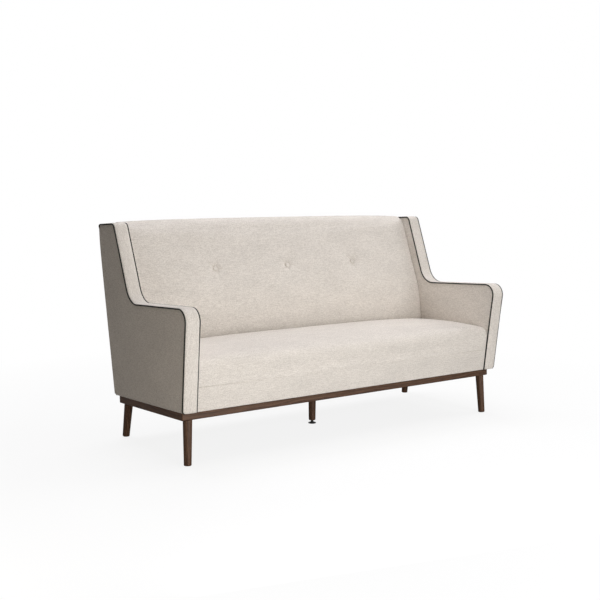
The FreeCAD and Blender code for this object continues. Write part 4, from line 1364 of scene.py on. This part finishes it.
def makeLegs():
    verts, faces = [], []
    for row in ("front", "rear"):
        x, y = leg[row]
        for sign in (-1, 1):
            foot = Vector((sign * x, y, 0.0))
            axis = Vector((-sign * leg["sideSplay"], -leg[row + "Splay"], 1.0)).normalized()
            length = underside(y + axis.y * leg["guess"]) / axis.z + leg["overrun"]
            lathe(verts, faces, foot, axis, legProfile(leg["foot"], leg["top"], length), leg["sides"])
    radius, low = leg["middleFoot"]
    foot = Vector((0.0, leg["middleY"], low))
    length = underside(leg["middleY"]) + leg["overrun"] - low
    lathe(verts, faces, foot, Vector((0, 0, 1)), legProfile(radius, leg["middleTop"], length), leg["sides"])
    p = unplace([tuple(v / 1000) for v in verts])
    p[:, 2] = np.minimum(p[:, 2], 0.0)
    q = place(p)
    q[:, 2] = np.maximum(q[:, 2], 0.0)
    piece = newPiece("turned_legs", q, faces)
    tidyNormals(piece)
    return settle(piece, walnutZ, "sofa", "walnut", "legs")


makeLegs()

# Levelling glide under the centre leg: a nylon pad on a threaded stem with a hexagon collar.
glide = {
    "pad": [(15.6, 0.0), (17.2, 0.4), (18.0, 1.3), (18.0, 2.6), (17.4, 3.5), (16.2, 4.0), (9.6, 4.2),
            (8.1, 4.9), (7.5, 6.2), (7.5, 8.3), (7.1, 8.8)],
    "padSides": 64, "root": 3.42, "crest": 4.0, "pitch": 1.25, "low": 8.8, "high": 38.8, "rowsPerTurn": 8,
    "sides": 24, "lead": 0.8, "sunk": 0.2, "flats": 11.0, "collar": 3.2, "collarSides": 48, "chamfer": 0.5,
    "bevelOut": 0.05, "flatOut": 9.0,
}


def glideStem():
    g = glide
    y = leg["middleY"]
    start = g["low"] + g["collar"] - g["sunk"]
    rows = int((g["high"] - start) / g["pitch"] * g["rowsPerTurn"])
    verts, faces = [], tubeFaces(rows + 1, g["sides"], 0)
    for k in range(rows + 1):
        z = start + (g["high"] - start) * k / rows
        lead = min(1.0, (g["high"] - z) / g["lead"])
        for s in range(g["sides"]):
            t = s / g["sides"]
            tooth = 1 - abs(2 * ((z / g["pitch"] - t) % 1.0) - 1)
            r = g["root"] + (g["crest"] - g["root"]) * tooth * lead
            turn = 2 * math.pi * t
            verts.append(Vector((r * math.cos(turn), y + r * math.sin(turn), z)))
    heights = (0.0, g["chamfer"], g["collar"] - g["chamfer"], g["collar"])
    sides = g["collarSides"]
    faces += tubeFaces(len(heights), sides, len(verts))
    for h in heights:
        limit = g["flats"] / 2 + (g["bevelOut"] if h in (0.0, g["collar"]) else g["flatOut"])
        for s in range(sides):
            t = 2 * math.pi * s / sides
            turn = (t % (math.pi / 3)) - math.pi / 6
            r = min(g["flats"] / 2 / math.cos(turn), limit)
            verts.append(Vector((r * math.cos(t), y + r * math.sin(t), g["low"] + h)))
    return verts, faces


def makeGlide():
    padVerts, padFaces = [], []
    foot = Vector((0.0, leg["middleY"], 0.0))
    lathe(padVerts, padFaces, foot, Vector((0, 0, 1)), glide["pad"], glide["padSides"])
    pieces = {
        "glide_disc": ((padVerts, padFaces), nylon, "black_plastic", "glide_pad"),
        "glide_screw": (glideStem(), blackSteel, "black_steel", "glide_stem"),
    }
    for name, ((verts, faces), material, slotName, node) in pieces.items():
        piece = newPiece(name, [tuple(v / 1000) for v in verts], faces)
        tidyNormals(piece)
        settle(piece, material, "glide_foot", slotName, node)


makeGlide()

# CAD nodes that stay as they are get their finishes.
finishes = {
    walnutX: ["plinth_front_rail", "plinth_rear_rail"],
    walnutY: ["plinth_left_rail", "plinth_right_rail"],
    beechX: ["back_button_slat", "back_lower_rail", "back_top_rail", "button_toggles", "seat_corner_blocks",
             "seat_front_rail", "seat_rear_rail"],
    beechY: ["plinth_centre_beam", "seat_centre_stretcher", "seat_left_rail", "seat_right_rail"],
    beechZ: ["back_centre_post", "back_post_left", "back_post_right"],
    birchPly: ["arm_panel_left", "arm_panel_right"],
    zinc: ["leg_bolts"],
}
for material, names in finishes.items():
    for name in names:
        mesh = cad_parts[name].data
        mesh.materials.clear()
        mesh.materials.append(material)
print("wood and hardware ready")


# Stage: a pale floor, a white surround, broad lamps above and low panels in front, all out of sight.
stage = {
    "size": 40.0, "drop": -0.0005, "seen": 0.95, "near": 0.86, "fadeFrom": 1.3, "fadeTo": 2.4,
    "bounce": 0.34, "world": 0.10, "tint": (1.0, 0.95, 0.87, 1),
}
# The camera that took the photo: lens and sensor in millimetres, place in metres, tilt and turn in degrees.
view = {"lens": 58.54, "sensor": 36.0, "spot": (-2.5640, -3.572, 1.0700), "tilt": 90 - 6.54, "turn": -35.09}
# Each lamp: place, aim, size, power, colour.
lamps = {
    "overhead": ((0.3, 0.0, 4.2), (0, 0, 0.3), (3.4, 2.4), 46.0, (1, 1, 1.06)),
    "right": ((3.8, -0.6, 3.2), (0, 0, 0.4), (2.4, 2.4), 61.0, (1, 1, 1)),
    "rear": ((0.0, 1.9, 4.1), (0, -0.1, 0.4), (3.4, 2.0), 83.0, (1, 1, 1.05)),
    "front": ((0.3, -4.4, 0.9), (0, 0, 0.4), (3.6, 1.4), 48.0, (1, 1, 1)),
    "frontMid": ((0.0, -3.6, 1.5), (0, 0.1, 0.45), (3.0, 0.8), 22.0, (1, 1, 1)),
    "frontNear": ((0.4, -2.3, 0.35), (0, -0.3, 0.35), (2.8, 0.5), 7.0, (1, 1, 1)),
    "frontLow": ((-0.6, -1.6, 0.06), (-0.3, -0.4, 0.36), (1.6, 0.6), 10.0, (1, 1, 1)),
    "left": ((-4.2, -1.2, 2.2), (0, 0, 0.4), (2.4, 2.4), 2.0, (1.0, 0.80, 0.50)),
    "leftFront": ((-2.0, -1.0, 0.3), (-0.86, -0.2, 0.3), (0.5, 0.5), 1.9, (1.0, 0.87, 0.70)),
}


def makeFloor():
    half, low = stage["size"] / 2, stage["drop"]
    corners = [(-half, -half, low), (half, -half, low), (half, half, low), (-half, half, low)]
    floor = newPiece("floor", corners, [(0, 1, 2, 3)])
    material, tree, shader = newMaterial("paleFloor", Roughness=0.95, Specular_IOR_Level=0.0)
    direct = add(tree, "ShaderNodeLightPath").outputs["Is Camera Ray"]
    bounce, seen = [(value, value, value, 1) for value in (stage["bounce"], stage["seen"])]
    link(tree, mixColour(tree, direct, bounce, seen), shader.inputs["Base Color"])
    at = add(tree, "ShaderNodeTexCoord").outputs["Object"]
    far = add(tree, "ShaderNodeVectorMath", {0: at}, operation="LENGTH").outputs["Value"]
    share = ramp(tree, far, stage["fadeFrom"], stage["fadeTo"], stage["near"], 1.0)
    glow = add(tree, "ShaderNodeEmission", {"Strength": 1.0})
    parts = (calc(tree, "MULTIPLY", share, direct), shader.outputs[0], glow.outputs[0])
    mix = add(tree, "ShaderNodeMixShader", enumerate(parts))
    link(tree, mix.outputs[0], tree.nodes["Material Output"].inputs[0])
    floor.data.materials.append(material)


def makeWorld():
    world = bpy.data.worlds.new("surround")
    scene.world = world
    world.use_nodes = True
    tree = world.node_tree
    ground = tree.nodes["Background"]
    rays = tree.nodes.new("ShaderNodeLightPath")
    seen = calc(tree, "MAXIMUM", rays.outputs["Is Camera Ray"], rays.outputs["Is Glossy Ray"])
    seen = calc(tree, "MAXIMUM", seen, rays.outputs["Is Transmission Ray"])
    link(tree, mixColour(tree, seen, stage["tint"], (1.0, 1.0, 1.0, 1)), ground.inputs["Color"])
    link(tree, ramp(tree, seen, 0.0, 1.0, stage["world"], 1.0), ground.inputs["Strength"])


def areaLamp(name, spot, aim, size, power, colour):
    lamp = bpy.data.lights.new(name, "AREA")
    lamp.shape = "RECTANGLE"
    lamp.size, lamp.size_y = size
    lamp.energy = power
    lamp.color = colour
    lampObject = bpy.data.objects.new(name, lamp)
    scene.collection.objects.link(lampObject)
    lampObject.location = spot
    lampObject.visible_camera = False
    lampObject.rotation_euler = (Vector(aim) - Vector(spot)).to_track_quat("-Z", "Y").to_euler()


makeFloor()
makeWorld()
for name, values in lamps.items():
    areaLamp(name, *values)

camera = bpy.data.cameras.new("photoCamera")
camera.lens = view["lens"]
camera.sensor_width = view["sensor"]
cameraObject = bpy.data.objects.new("photoCamera", camera)
scene.collection.objects.link(cameraObject)
cameraObject.location = view["spot"]
cameraObject.rotation_euler = (math.radians(view["tilt"]), 0, math.radians(view["turn"]))
scene.camera = cameraObject
scene.view_settings.view_transform = "Standard"
